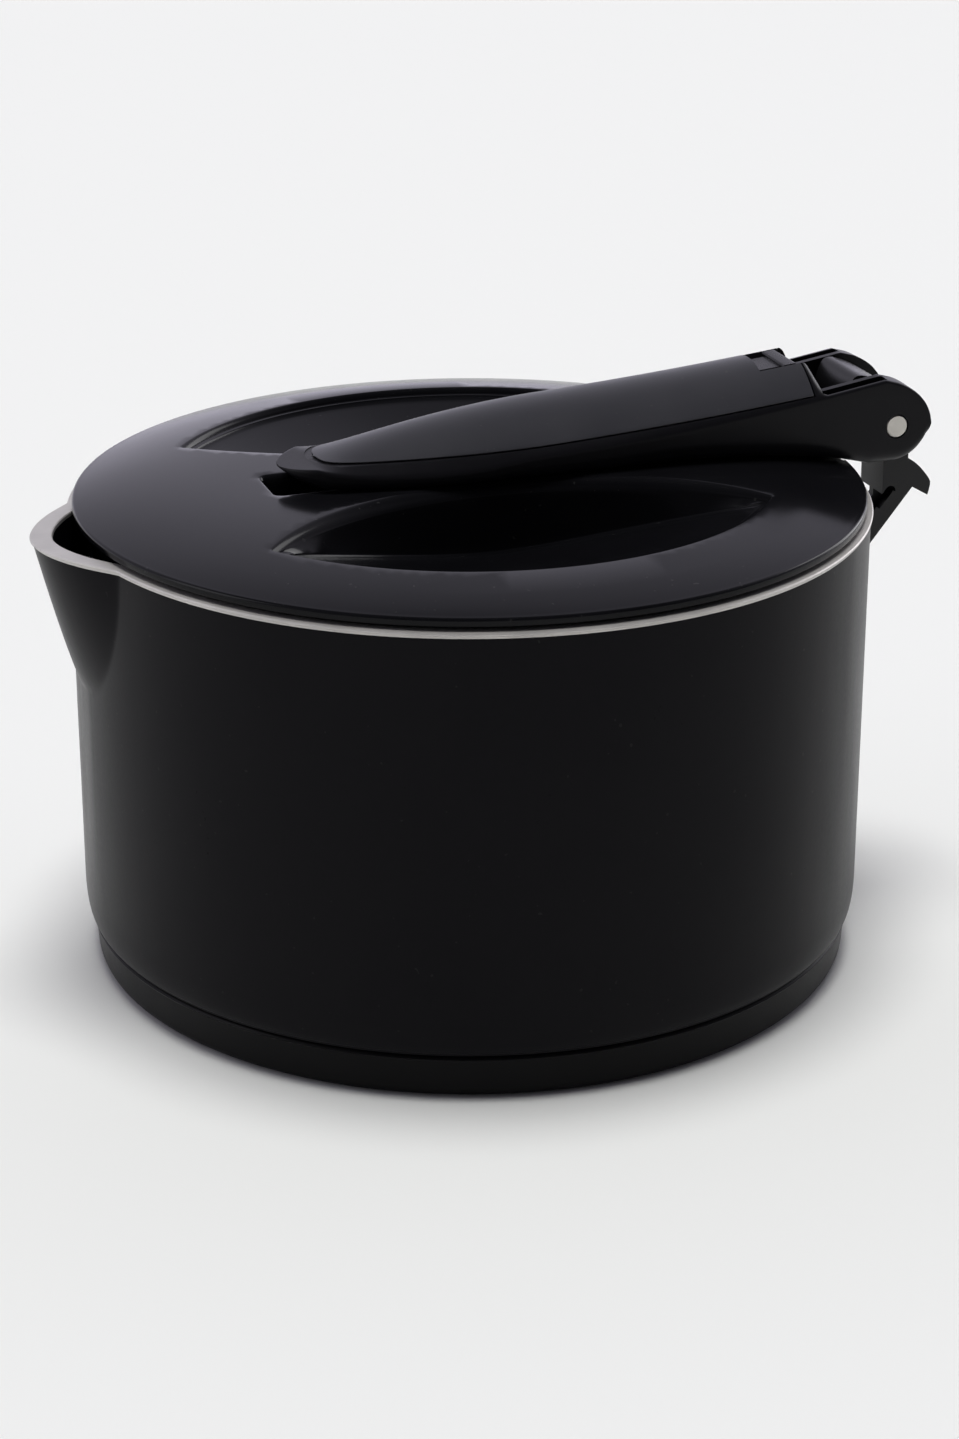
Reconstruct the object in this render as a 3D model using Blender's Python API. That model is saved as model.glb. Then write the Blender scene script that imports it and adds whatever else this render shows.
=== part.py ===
"""A low stove-top kettle whose handle folds over its lid, modelled piece by piece.

The origin is on the kettle's axis, on the surface that it stands on. +Z is up, the pouring lip points
to -X and the handle's hinge is at +X. Lengths are metres. Every piece is built at rest, with the handle
folded, and the pieces that move hang from an empty on their joint's axis.
"""

import math

import bpy
import numpy as np

# Clearances between neighbouring pieces
SEAT_GAP = 0.0003
RUN_GAP = 0.0001
PARTING_GAP = 0.0003
OVERRUN = 0.0040

# How finely round things are drawn
ROUND_SIDES = 56
SPOUT_SIDES = 16
BORE_SIDES = 20
SCREW_SIDES = 12

# Pot: a cast wall with a proud bead round its rim, drawn in to a shadow groove at the foot
RIM_RADIUS = 0.0804
RIM_HEIGHT = 0.0942
RIM_BEAD_HEIGHT = 0.0006
RIM_BEAD_PROUD = 0.0004
WALL = 0.0036
FLOOR = 0.0035
FLOOR_FILLET = 0.0060
FOOT_INSET = 0.0011
FOOT_CURVE_HEIGHT = 0.0062
FOOT_EDGE = 0.0006

# Pouring lip: a V-shaped beak pressed out of the wall, its top ground flat with the rim
SPOUT_REACH = 0.0086
SPOUT_LIP_WIDTH = 0.0044
SPOUT_DEPTH = 0.0310
SPOUT_HALF_ANGLE = math.radians(16.0)
SPOUT_LEVEL_SHARES = (0.12, 0.28, 0.46, 0.64, 0.82)
SPOUT_V_SHARE = 1.7
SPOUT_CREASE_SHARE = 1.15
SPOUT_BULGE_SHARE = 0.85

# Base: a thin cap bonded round a heat spreader
BASE_HEIGHT = 0.0091
BASE_INSET = 0.0001
BASE_CHAMFER = 0.0010
BASE_DRAFT = 0.0004
BASE_EDGE = 0.0025
BASE_SHEET = 0.0009

# Lid: a domed shell with a skirt on the rim and a plug inside it
LID_SKIRT_OVERLAP = 0.0028
LID_SKIRT_HEIGHT = 0.0022
LID_EDGE_ROUND = 0.0006
LID_DOME_RISE = 0.0042
LID_DOME_SHARE = 4.5
LID_DOME_RING_SHARES = (0.25, 0.50, 0.68, 0.82, 0.92)
LID_SHELL = 0.0024
LID_NOTCH_WIDTH = 0.0180
LID_NOTCH_WALL = 0.0016
LID_PLUG_CLEARANCE = 0.0006
LID_PLUG_WALL = 0.0020
LID_PLUG_DEPTH = 0.0079
LID_PLATE = 0.0015
LID_PLATE_RIM = 0.0016

# Finger wells: two lenses between an arc about the lid's axis and a flatter arc beside the bar
WELL_RIM_MARGIN = 0.0199
WELL_INNER_RADIUS = 0.0690
WELL_BAR_WIDTH = 0.0275
WELL_DEPTH = 0.0153
WELL_WALL = 0.0018
WELL_LIP = 0.0016
WELL_DRAFT = 0.0010
WELL_ARC_STEPS = 12

# Pit under the handle's tip, where a fingertip lifts the handle
PIT_TIP_MARGIN = 0.0017
PIT_LENGTH = 0.0170
PIT_WIDTH = 0.0124
PIT_DEPTH = 0.0075

# Gasket round the plug, and the screws of the lid's plate
GASKET_HEIGHT = 0.0033
GASKET_WIDTH = 0.0024
LID_BOSS_RADIUS = 0.0034
LID_BOSS_INSET = 0.0198
LID_SCREW_LENGTH = 0.0080

# Screws
SCREW_SHANK_RADIUS = 0.0013
SCREW_HEAD_RADIUS = 0.0026
SCREW_HEAD_HEIGHT = 0.0014

# Hinge: a steel pin flush in the handle's two ears, turning in a bush in the bracket's knuckle
PIN_RIM_REACH = 0.0068
PIN_RISE = 0.0100
PIN_RADIUS = 0.0024
BUSH_WALL = 0.0012
EAR_WIDTH = 0.0050
EAR_END_RADIUS = 0.0077
EAR_BOTTOM_RADIUS = 0.0080
EAR_SHOULDER = 0.0014
EAR_PEAK_RISE = 0.0098
EAR_PEAK_SETBACK = 0.0027
WASHER_THICKNESS = 0.0005
WASHER_RADIUS = 0.0060
OPEN_ANGLE = math.radians(210.0)

# Handle: a crowned, boat-shaped grip in two halves
HANDLE_REACH = 0.1268
HANDLE_WIDTH = 0.0275
HANDLE_SWELL = 0.0008
HANDLE_REST_GAP = 0.0004
HANDLE_TIP_LENGTH = 0.0100
HANDLE_TIP_SHARE = 2.1
HANDLE_TIP_DROP = 0.0007
HANDLE_TIP_RISE = 0.0004
HANDLE_BOW_LENGTH = 0.0095
HANDLE_TAPER_LENGTH = 0.0400
HANDLE_TAPER_SHARE = 0.40
HANDLE_CROWN = 0.0070
HANDLE_CROWN_LENGTH = 0.0500
HANDLE_CROWN_SHARE = 2.0
SECTION_CROWN_SHARES = (0.97, 0.88, 0.74, 0.56, 0.36, 0.16)
HANDLE_TUCK = 0.0034
EAR_CROWN = 0.0003
PARTING_TIP_RISE = 0.0013
PARTING_END_RISE = 0.0077
PARTING_LINE_SHARE = 0.19
WEB_WIDTH = 0.0028
EAR_SLOT_WALL = 0.0010
EAR_SLOT_WIDTH = 0.0026
EAR_SLOT_LENGTH = 0.0143
EAR_SLOT_DEPTH = 0.0050
TIP_STATION_SHARES = (0.03, 0.10, 0.22, 0.40, 0.64, 0.85)
WEB_STATION_SHARES = (0.35, 0.70, 0.93)
EAR_STATION_SHARES = (0.30, 0.65)
END_STATION_ANGLES = np.radians([0.0, 28.0, 48.0, 64.0, 76.0, 85.0])

# Inlay: the satin top of the handle, with a window for the latch's thumb piece
INLAY_TIP_SETBACK = 0.0058
INLAY_TIP_LENGTH = 0.0050
INLAY_TAPER_LENGTH = 0.0450
INLAY_TAPER_SHARE = 0.50
INLAY_STATION_SHARES = (0.03, 0.12, 0.28, 0.50, 0.75)
INLAY_MARGIN = 0.0004
INLAY_END_FROM_PIN = 0.0182
WINDOW_FROM_PIN = 0.0274
WINDOW_WIDTH = 0.0120
INLAY_SCREW_SHARES = (0.34, 0.56)
INLAY_SCREW_BITE = 0.0034

# Bracket: an arm from the wall, a neck up to the knuckle and a hook that catches the latch
HOOK_TIP_RADIUS = 0.0235
HOOK_TIP_ANGLE = math.radians(-55.1)
HOOK_NOTCH_RADIUS = 0.0198
HOOK_NOTCH_ANGLE = math.radians(-60.2)
HOOK_BACK_SHARES = ((0.975, -52.3), (0.907, -49.1), (0.762, -48.5), (0.668, -49.3), (0.587, -51.3))
HOOK_WIDTH = 0.0050
ARM_SLOPE = math.radians(51.4)
ARM_TOP_SLOPE = math.radians(39.7)
ARM_TOP_DROP = 0.0139
FLANGE_WIDTH = 0.0080
FLANGE_THICKNESS = 0.0018
POCKET_DEPTH = 0.0016
POCKET_LENGTH = 0.0085
POCKET_WIDTH = 0.0024
POCKET_INSET_SHARE = 2.2
NECK_START = 0.0016
NECK_END = 0.0072
NECK_WIDTH = 0.0104
KNUCKLE_SHARES = ((1.12, -110.0), (1.10, -60.0), (1.0, -30.0), (0.90, 0.0), (0.76, 44.0), (0.86, 75.0),
                  (1.29, 112.0), (1.50, 131.0), (1.16, 180.0))
PAD_WIDTH = 0.0090
PAD_HEIGHT = 0.0180
PAD_DROP = 0.0100
PAD_THICKNESS = 0.0017
PAD_CORNER = 0.0020
SADDLE = 0.0008
SADDLE_MARGIN = 0.0022
BRACKET_SCREW_DROPS = (0.0168, 0.0224)
BRACKET_SCREW_BITE = 0.0021

# Latch: a steel bolt under the window, its thumb piece and the spring behind it
LATCH_TILT = math.radians(5.5)
LATCH_TRAVEL = 0.0040
CATCH_OVERLAP = 0.0028
CATCH_CLEARANCE = 0.00045
BOLT_WIDTH = 0.0112
BOLT_THICKNESS = 0.0011
BOLT_LENGTH = 0.0196
BOLT_RAMP_LENGTH = 0.0020
BOLT_RAMP_HEIGHT = 0.0008
THUMB_LENGTH = 0.0078
THUMB_PLATE = 0.0006
THUMB_PLATE_WIDTH = 0.0080
RIDGE_LENGTH = 0.0030
RIDGE_HEIGHT = 0.0006
THUMB_FROM_NOSE = 0.0004
THUMB_ROUND = 0.0005
THUMB_PEG_RADIUS = 0.0011
SPRING_RADIUS = 0.0014
SPRING_WIRE_RADIUS = 0.00022
SPRING_LENGTH = 0.0110
SPRING_TURNS = 8
SPRING_STEPS = 10
SPRING_SIDES = 4
HOOK_POCKET_GAP = 0.0007

# Places worked out from the sizes above
WALL_RADIUS = RIM_RADIUS - RIM_BEAD_PROUD
SPOUT_TIP_RADIUS = RIM_RADIUS + SPOUT_REACH
INNER_RADIUS = WALL_RADIUS - WALL
POT_UNDERSIDE = BASE_HEIGHT + SEAT_GAP
FLOOR_TOP = POT_UNDERSIDE + FLOOR
FOOT_RADIUS = WALL_RADIUS - FOOT_INSET
SKIRT_RADIUS = INNER_RADIUS + LID_SKIRT_OVERLAP
SKIRT_BOTTOM = RIM_HEIGHT + SEAT_GAP
SKIRT_TOP = SKIRT_BOTTOM + LID_SKIRT_HEIGHT
DOME_RADIUS = SKIRT_RADIUS - LID_EDGE_ROUND
PLUG_RADIUS = INNER_RADIUS - LID_PLUG_CLEARANCE
WELL_OUTER_RADIUS = RIM_RADIUS - WELL_RIM_MARGIN
LID_BOSS_REACH = PLUG_RADIUS - LID_BOSS_INSET
PLUG_BOTTOM = SKIRT_BOTTOM - LID_PLUG_DEPTH
PLATE_TOP = PLUG_BOTTOM - GASKET_HEIGHT - 2 * SEAT_GAP
PLATE_BOTTOM = PLATE_TOP - LID_PLATE
PIN_REACH = RIM_RADIUS + PIN_RIM_REACH
PIN_HEIGHT = RIM_HEIGHT + PIN_RISE
HANDLE_TIP_X = PIN_REACH - HANDLE_REACH
PIT_END_REACH = PIT_TIP_MARGIN - HANDLE_TIP_X
FORK_WIDTH = HANDLE_WIDTH - 2 * EAR_WIDTH
KNUCKLE_WIDTH = FORK_WIDTH - 2 * (WASHER_THICKNESS + 2 * SEAT_GAP)
BUSH_RADIUS = PIN_RADIUS + RUN_GAP + BUSH_WALL
INLAY_END_X = PIN_REACH - INLAY_END_FROM_PIN
WEB_END_X = INLAY_END_X + WEB_WIDTH
PAD_INNER_RADIUS = WALL_RADIUS + SADDLE + 2 * SEAT_GAP
PAD_FACE_X = PAD_INNER_RADIUS + PAD_THICKNESS
PAD_TOP = RIM_HEIGHT - PAD_DROP
PAD_BOTTOM = PAD_TOP - PAD_HEIGHT


def lid_top(radius):
    """Height of the lid's dome at a radius: flat in the middle, falling ever faster to the edge."""
    share = np.abs(radius) / DOME_RADIUS
    return SKIRT_TOP + LID_DOME_RISE * (1 - share**LID_DOME_SHARE)


def from_pin(radius, angle):
    """The point (x, z) at a distance and direction from the hinge pin, in the plane across the pin."""
    return PIN_REACH + radius * math.cos(angle), PIN_HEIGHT + radius * math.sin(angle)


def material(name, colour, roughness, metallic):
    """A plain Principled material."""
    made = bpy.data.materials.new(name)
    made.use_nodes = True
    shader = made.node_tree.nodes["Principled BSDF"]
    shader.inputs["Base Color"].default_value = (*colour, 1.0)
    shader.inputs["Roughness"].default_value = roughness
    shader.inputs["Metallic"].default_value = metallic
    return made


def volume_of(points, faces):
    """Six times the signed volume inside the faces, positive when they point out."""
    total = 0.0
    for face in faces:
        corners = points[list(face)]
        for second, third in zip(corners[1:-1], corners[2:]):
            total += np.dot(corners[0], np.cross(second, third))
    return total


def shape(*parts):
    """Points and faces of several closed shapes as one, each with its faces turned outwards."""
    all_points, all_faces, start = [], [], 0
    for points, faces in parts:
        points = np.asarray(points, float)
        if volume_of(points - points.mean(axis=0), faces) < 0:
            faces = [tuple(reversed(face)) for face in faces]
        all_points.append(points)
        all_faces += [tuple(start + index for index in face) for face in faces]
        start += len(points)
    return np.concatenate(all_points), all_faces


def piece(name, built, look, parent=None):
    """A named object from points and faces. Its points are kept relative to its parent's place."""
    points, faces = shape(built)
    home = np.array(parent.location) if parent else np.zeros(3)
    mesh = bpy.data.meshes.new(name)
    mesh.from_pydata((points - home).tolist(), [], faces)
    mesh.validate()
    mesh.shade_smooth()
    mesh.set_sharp_from_angle(angle=math.radians(30))
    mesh.materials.append(look)
    made = bpy.data.objects.new(name, mesh)
    made.parent = parent
    bpy.context.scene.collection.objects.link(made)
    return made


def helper(name, *parts):
    """A shape that only cuts or joins: never rendered, drawn as wire."""
    points, faces = shape(*parts)
    mesh = bpy.data.meshes.new(name)
    mesh.from_pydata(points.tolist(), [], faces)
    made = bpy.data.objects.new(name, mesh)
    made.hide_render = True
    made.display_type = "WIRE"
    bpy.context.scene.collection.objects.link(made)
    return made


def combine(target, operation, *helpers):
    """Adds one exact Boolean to the target for each helper."""
    for other in helpers:
        modifier = target.modifiers.new(other.name, "BOOLEAN")
        modifier.operation = operation
        modifier.object = other


def pivot(name, place):
    """An empty on a joint's axis that carries the pieces of one moving body."""
    made = bpy.data.objects.new(name, None)
    made.location = place
    bpy.context.scene.collection.objects.link(made)
    return made


def loft(rings, start_pole=None, end_pole=None, looped=False):
    """Skins rings of equal length with triangles. The ends close on a pole, a flat face or, looped, each other."""
    rings = [np.asarray(ring, float) for ring in rings]
    count = len(rings[0])
    points = np.concatenate(rings)
    faces = []
    pairs = list(zip(range(len(rings) - 1), range(1, len(rings))))
    if looped:
        pairs.append((len(rings) - 1, 0))
    for low, high in pairs:
        for side in range(count):
            after = (side + 1) % count
            corner = low * count + side, low * count + after, high * count + after, high * count + side
            faces += [corner[:3], (corner[0], corner[2], corner[3])]
    if looped:
        return points, faces
    last = (len(rings) - 1) * count
    for pole, first, backwards in ((start_pole, 0, True), (end_pole, last, False)):
        ring = [first + side for side in range(count)]
        if backwards:
            ring.reverse()
        if pole is None:
            faces.append(tuple(ring))
            continue
        points = np.vstack([points, pole])
        top = len(points) - 1
        faces += [(ring[side], ring[(side + 1) % count], top) for side in range(count)]
    return points, faces


def ring_at(radius, height, angles, centre=(0.0, 0.0)):
    """A level ring. The radius may differ from angle to angle."""
    flat = np.zeros(len(angles)) + height
    return np.stack([centre[0] + radius * np.cos(angles), centre[1] + radius * np.sin(angles), flat], axis=1)


def turned(profile, sides=ROUND_SIDES, centre=(0.0, 0.0)):
    """Turns an open profile of (radius, height), from its first height on the axis to its last one."""
    angles = np.linspace(0, math.tau, sides, endpoint=False)
    rings = [ring_at(radius, height, angles, centre) for radius, height in profile[1:-1]]
    return loft(rings, (*centre, profile[0][1]), (*centre, profile[-1][1]))


def turned_ring(profile, sides=ROUND_SIDES, centre=(0.0, 0.0)):
    """Turns a closed profile of (radius, height) that stays off the axis."""
    angles = np.linspace(0, math.tau, sides, endpoint=False)
    return loft([ring_at(radius, height, angles, centre) for radius, height in profile], looped=True)


def rod(radius, low, high, sides=BORE_SIDES, centre=(0.0, 0.0)):
    """An upright round bar."""
    return turned([(0, low), (radius, low), (radius, high), (0, high)], sides, centre)


def along_y(built, x, z):
    """Lays an upright shape down along Y, its axis through (x, z)."""
    points, faces = built
    return np.stack([points[:, 0] + x, points[:, 2], points[:, 1] + z], axis=1), faces


def along_x(built, y, z):
    """Lays an upright shape down along X, its axis through (y, z)."""
    points, faces = built
    return np.stack([points[:, 2], points[:, 0] + y, points[:, 1] + z], axis=1), faces


def prism(outline, half_width, middle=0.0):
    """Extrudes an outline of (x, z) to both sides along Y."""
    outline = np.asarray(outline, float)
    sides = [np.insert(outline, 1, middle + side * half_width, axis=1) for side in (-1, 1)]
    return loft(sides)


def block(low, high):
    """A box between two corners."""
    outline = [(low[0], low[2]), (high[0], low[2]), (high[0], high[2]), (low[0], high[2])]
    return prism(outline, (high[1] - low[1]) / 2, (high[1] + low[1]) / 2)


def bore_radius(radius, sides=BORE_SIDES):
    """The corner radius of a many-sided bore whose flats clear a round piece of this radius."""
    return (radius + RUN_GAP) / math.cos(math.pi / sides)


def spout_angles():
    """Directions round the pot, close together at the lip and wider elsewhere."""
    reach = SPOUT_HALF_ANGLE * (1 + 1 / SPOUT_SIDES)
    lip = np.linspace(math.pi - reach, math.pi + reach, SPOUT_SIDES + 1)
    rest = np.linspace(math.pi + reach, 3 * math.pi - reach, ROUND_SIDES + 1)[1:-1]
    return np.concatenate([lip, rest])


def beaked(radius, tip_radius, height):
    """The radius in each direction: the wall's own, pushed out to the tip where the lip is."""
    rise = np.clip((height - RIM_HEIGHT + SPOUT_DEPTH) / SPOUT_DEPTH, 0, 1)
    if rise == 0:
        return radius
    half = SPOUT_HALF_ANGLE * math.sqrt(1 - (1 - rise) ** 2)
    share = np.clip(np.abs(spout_angles() - math.pi) / half, 0, 1)
    return radius + (tip_radius - radius) * rise**SPOUT_BULGE_SHARE * (1 - share**SPOUT_V_SHARE) ** SPOUT_CREASE_SHARE


def pot_profile():
    """Rings of the pot as (radius, radius at the lip's tip, height), from the underside round to the floor."""
    outer_tip = SPOUT_TIP_RADIUS - RIM_BEAD_PROUD
    inner_tip = SPOUT_TIP_RADIUS - SPOUT_LIP_WIDTH
    bead = RIM_HEIGHT - RIM_BEAD_HEIGHT
    levels = [RIM_HEIGHT - SPOUT_DEPTH * (1 - share) for share in (0.0, *SPOUT_LEVEL_SHARES)]
    rings = [(FOOT_RADIUS - FOOT_EDGE, FOOT_RADIUS, POT_UNDERSIDE)]
    for turn in np.linspace(0, math.pi / 2, 5):
        radius = FOOT_RADIUS + FOOT_INSET * math.sin(turn)
        rings.append((radius, radius, POT_UNDERSIDE + FOOT_EDGE + FOOT_CURVE_HEIGHT * (1 - math.cos(turn))))
    rings += [(WALL_RADIUS, outer_tip, level) for level in (*levels, bead)]
    rings += [(RIM_RADIUS, SPOUT_TIP_RADIUS, height) for height in (bead, RIM_HEIGHT)]
    rings += [(INNER_RADIUS, inner_tip, level) for level in (RIM_HEIGHT, *reversed(levels))]
    for turn in np.linspace(0, math.pi / 2, 4):
        radius = INNER_RADIUS - FLOOR_FILLET * (1 - math.cos(turn))
        rings.append((radius, radius, FLOOR_TOP + FLOOR_FILLET * (1 - math.sin(turn))))
    return rings


def build_pot(look):
    """The cast pot, as rings round its wall, with holes for the bracket's screws."""
    rings = [ring_at(beaked(*ring), ring[2], spout_angles()) for ring in pot_profile()]
    pot = piece("pot_body", loft(rings, (0, 0, POT_UNDERSIDE), (0, 0, FLOOR_TOP)), look)
    combine(pot, "DIFFERENCE", bracket_screw_holes("pot_screw_holes"))


def build_base(coated, bare):
    """The cap under the pot, stepped in below the groove, and the spreader that it holds."""
    top = FOOT_RADIUS - BASE_INSET
    face = top - BASE_CHAMFER / 2
    foot = face - BASE_DRAFT
    inside = foot - BASE_EDGE / 2 - BASE_SHEET
    outline = [(0, 0)]
    for turn in np.linspace(0, math.pi / 2, 4):
        outline.append((foot - BASE_EDGE * (1 - math.sin(turn)), BASE_EDGE * (1 - math.cos(turn))))
    outline.append((face, BASE_HEIGHT - BASE_CHAMFER))
    outline += [(top, BASE_HEIGHT - BASE_CHAMFER / 2), (top - BASE_CHAMFER / 2, BASE_HEIGHT)]
    outline += [(inside, BASE_HEIGHT), (inside, BASE_SHEET), (0, BASE_SHEET)]
    piece("base_cap", turned(outline), coated)
    spreader = inside - SEAT_GAP
    low, high = BASE_SHEET + SEAT_GAP, BASE_HEIGHT - SEAT_GAP
    piece("heat_spreader", rod(spreader, low, high, ROUND_SIDES), bare)


def lens_ring(offset, height, side):
    """A lens round one finger well, grown by an offset, at a height."""
    outer = WELL_OUTER_RADIUS + offset
    inner = WELL_INNER_RADIUS + offset
    centre = WELL_BAR_WIDTH / 2 + WELL_INNER_RADIUS
    tip_y = (centre**2 + outer**2 - inner**2) / (2 * centre)
    tip_x = math.sqrt(outer**2 - tip_y**2)
    reach = math.atan2(tip_x, tip_y)
    turns = np.linspace(-reach, reach, WELL_ARC_STEPS + 1)
    far = [(outer * math.sin(turn), outer * math.cos(turn)) for turn in turns]
    reach = math.asin(tip_x / inner)
    turns = np.linspace(reach, -reach, WELL_ARC_STEPS + 1)[1:-1]
    near = [(inner * math.sin(turn), centre - inner * math.cos(turn)) for turn in turns]
    flat = np.array(far + near)
    return np.column_stack([flat[:, 0], side * flat[:, 1], np.full(len(flat), height)])


def pit_ring(offset, height):
    """The square-ended pit under the handle's tip, grown by an offset, at a height."""
    low, high = -PIT_END_REACH - offset, -PIT_END_REACH + PIT_LENGTH + offset
    half = PIT_WIDTH / 2 + offset
    return [(low, -half, height), (high, -half, height), (high, half, height), (low, half, height)]


def lid_levels():
    """Heights in the lid: where the cups join the shell, the wells' floor and the pit's floor."""
    join = (lid_top(WELL_OUTER_RADIUS + WELL_WALL) + lid_top(0) - LID_SHELL) / 2
    return join, lid_top(0) - LID_SHELL - WELL_DEPTH + WELL_WALL, lid_top(0) - PIT_DEPTH


def lid_cups():
    """Outsides of the wells and of the pit, which hang from the shell, and the bosses with their blind holes."""
    join, well_floor, pit_floor = lid_levels()
    parts = []
    for side in (-1, 1):
        low = lens_ring(WELL_WALL - WELL_DRAFT, well_floor - WELL_WALL, side)
        parts.append(loft([low, lens_ring(WELL_WALL, join, side)]))
    parts.append(loft([pit_ring(WELL_WALL - WELL_DRAFT, pit_floor - WELL_WALL), pit_ring(WELL_WALL, join)]))
    low, top = PLATE_TOP + SEAT_GAP, PLATE_BOTTOM + LID_SCREW_LENGTH + SEAT_GAP
    hole = bore_radius(SCREW_SHANK_RADIUS, SCREW_SIDES)
    profile = [(0, top), (hole, top), (hole, low), (LID_BOSS_RADIUS, low), (LID_BOSS_RADIUS, join), (0, join)]
    bosses = [turned(profile, SCREW_SIDES, place) for place in lid_screw_places()]
    return helper("lid_bosses", *bosses), helper("lid_cups", *parts)


def lid_hollows():
    """Insides of the wells and of the pit, each with a bevelled lip."""
    join, well_floor, pit_floor = lid_levels()
    lip = lid_top(WELL_OUTER_RADIUS) - WELL_LIP / 2
    above = lid_top(0) + WELL_LIP
    parts = []
    for side in (-1, 1):
        rings = [lens_ring(-WELL_DRAFT, well_floor, side), lens_ring(0, lip, side)]
        parts.append(loft([*rings, lens_ring(above - lip, above, side)]))
    lip = lid_top(PIT_END_REACH) - WELL_LIP / 2
    rings = [pit_ring(-WELL_DRAFT, pit_floor), pit_ring(0, lip), pit_ring(above - lip, above)]
    parts.append(loft(rings))
    return helper("lid_hollows", *parts)


def lid_notch():
    """The piece left out of the skirt under the hinge, so that the lid lifts past the bracket's knuckle."""
    low = (PLUG_RADIUS + LID_NOTCH_WALL, -LID_NOTCH_WIDTH / 2, SKIRT_BOTTOM - OVERRUN)
    high = (SKIRT_RADIUS + OVERRUN, LID_NOTCH_WIDTH / 2, SKIRT_TOP + OVERRUN)
    return helper("lid_notch", block(low, high))


def lid_screw_places():
    """Three places along the bar between the wells."""
    return [(share * LID_BOSS_REACH, 0.0) for share in (-1, 0, 1)]


def build_lid(glossy, plain, rubber, steel, carrier):
    """The lid's shell, the plate that closes it from below, the gasket between them and the screws."""
    under = [(share * DOME_RADIUS, lid_top(share * DOME_RADIUS)) for share in LID_DOME_RING_SHARES]
    plug_wall = PLUG_RADIUS - LID_PLUG_WALL
    profile = [(0, lid_top(0)), *under, (DOME_RADIUS, SKIRT_TOP)]
    profile += [(SKIRT_RADIUS, SKIRT_TOP - LID_EDGE_ROUND), (SKIRT_RADIUS, SKIRT_BOTTOM)]
    profile += [(PLUG_RADIUS, SKIRT_BOTTOM), (PLUG_RADIUS, PLUG_BOTTOM), (plug_wall, PLUG_BOTTOM)]
    profile += [(plug_wall, SKIRT_BOTTOM), *[(r, z - LID_SHELL) for r, z in reversed(under)]]
    profile += [(0, lid_top(0) - LID_SHELL)]
    shell = piece("lid_shell", turned(profile), glossy, carrier)
    combine(shell, "UNION", *lid_cups())
    combine(shell, "DIFFERENCE", lid_hollows(), lid_notch())

    rim_outer = INNER_RADIUS - SEAT_GAP - GASKET_WIDTH - SEAT_GAP
    rim_inner = rim_outer - LID_PLATE_RIM
    rim_top = PLUG_BOTTOM - SEAT_GAP
    plate = [(0, PLATE_BOTTOM), (PLUG_RADIUS, PLATE_BOTTOM), (PLUG_RADIUS, PLATE_TOP), (rim_outer, PLATE_TOP)]
    plate += [(rim_outer, rim_top), (rim_inner, rim_top), (rim_inner, PLATE_TOP), (0, PLATE_TOP)]
    closer = piece("lid_plate", turned(plate), plain, carrier)
    hole = bore_radius(SCREW_SHANK_RADIUS, SCREW_SIDES)
    low, high = PLATE_BOTTOM - OVERRUN, PLATE_TOP + OVERRUN
    holes = [rod(hole, low, high, SCREW_SIDES, place) for place in lid_screw_places()]
    combine(closer, "DIFFERENCE", helper("lid_plate_holes", *holes))

    low, high = PLATE_TOP + SEAT_GAP, PLUG_BOTTOM - SEAT_GAP
    inner, outer = rim_outer + SEAT_GAP, rim_outer + SEAT_GAP + GASKET_WIDTH
    seal = [(inner, low), (outer, low), (outer, high), (inner, high)]
    piece("lid_gasket", turned_ring(seal), rubber, carrier)
    for number, place in enumerate(lid_screw_places(), 1):
        piece(f"lid_screw_{number}", screw(place, PLATE_BOTTOM - SEAT_GAP, LID_SCREW_LENGTH), steel, carrier)


def screw(place, seat, length):
    """A screw driven upwards from a seat, its head below it."""
    low = seat - SCREW_HEAD_HEIGHT
    profile = [(0, low), (SCREW_HEAD_RADIUS, low), (SCREW_HEAD_RADIUS, seat), (SCREW_SHANK_RADIUS, seat)]
    profile += [(SCREW_SHANK_RADIUS, seat + length), (0, seat + length)]
    return turned(profile, SCREW_SIDES, place)


def bracket_screw_places():
    """The bracket's screws, one above the other behind the arm, as (y, z)."""
    return [(0.0, RIM_HEIGHT - drop) for drop in BRACKET_SCREW_DROPS]


def bracket_screw_reach():
    """Distances from the axis of the screws' seat inside the pot and of their ends."""
    seat = math.sqrt(INNER_RADIUS**2 - SCREW_HEAD_RADIUS**2) - SEAT_GAP
    return seat, PAD_INNER_RADIUS + BRACKET_SCREW_BITE


def bracket_screw_holes(name):
    """Cutters for the screws' shanks, from inside the pot to just past their ends."""
    radius = bore_radius(SCREW_SHANK_RADIUS, SCREW_SIDES)
    low, high = INNER_RADIUS - OVERRUN, bracket_screw_reach()[1] + SEAT_GAP
    holes = [along_x(rod(radius, low, high, SCREW_SIDES), *place) for place in bracket_screw_places()]
    return helper(name, *holes)


def rounded_rectangle(width, height, corner, steps=4):
    """Points of a rectangle about the origin with round corners."""
    points = []
    for quarter, (right, up) in enumerate(((1, 1), (-1, 1), (-1, -1), (1, -1))):
        for turn in np.linspace(0, math.pi / 2, steps + 1) + quarter * math.pi / 2:
            x = right * (width / 2 - corner) + corner * math.cos(turn)
            points.append((x, up * (height / 2 - corner) + corner * math.sin(turn)))
    return np.array(points)


def pad_block(margin, inner, outer):
    """A block with round corners on the wall's +X side, between two distances from the axis."""
    flat = rounded_rectangle(PAD_WIDTH + 2 * margin, PAD_HEIGHT + 2 * margin, PAD_CORNER)
    middle = (PAD_TOP + PAD_BOTTOM) / 2
    rings = [np.column_stack([np.full(len(flat), x), flat[:, 0], flat[:, 1] + middle]) for x in (inner, outer)]
    return loft(rings)


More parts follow.
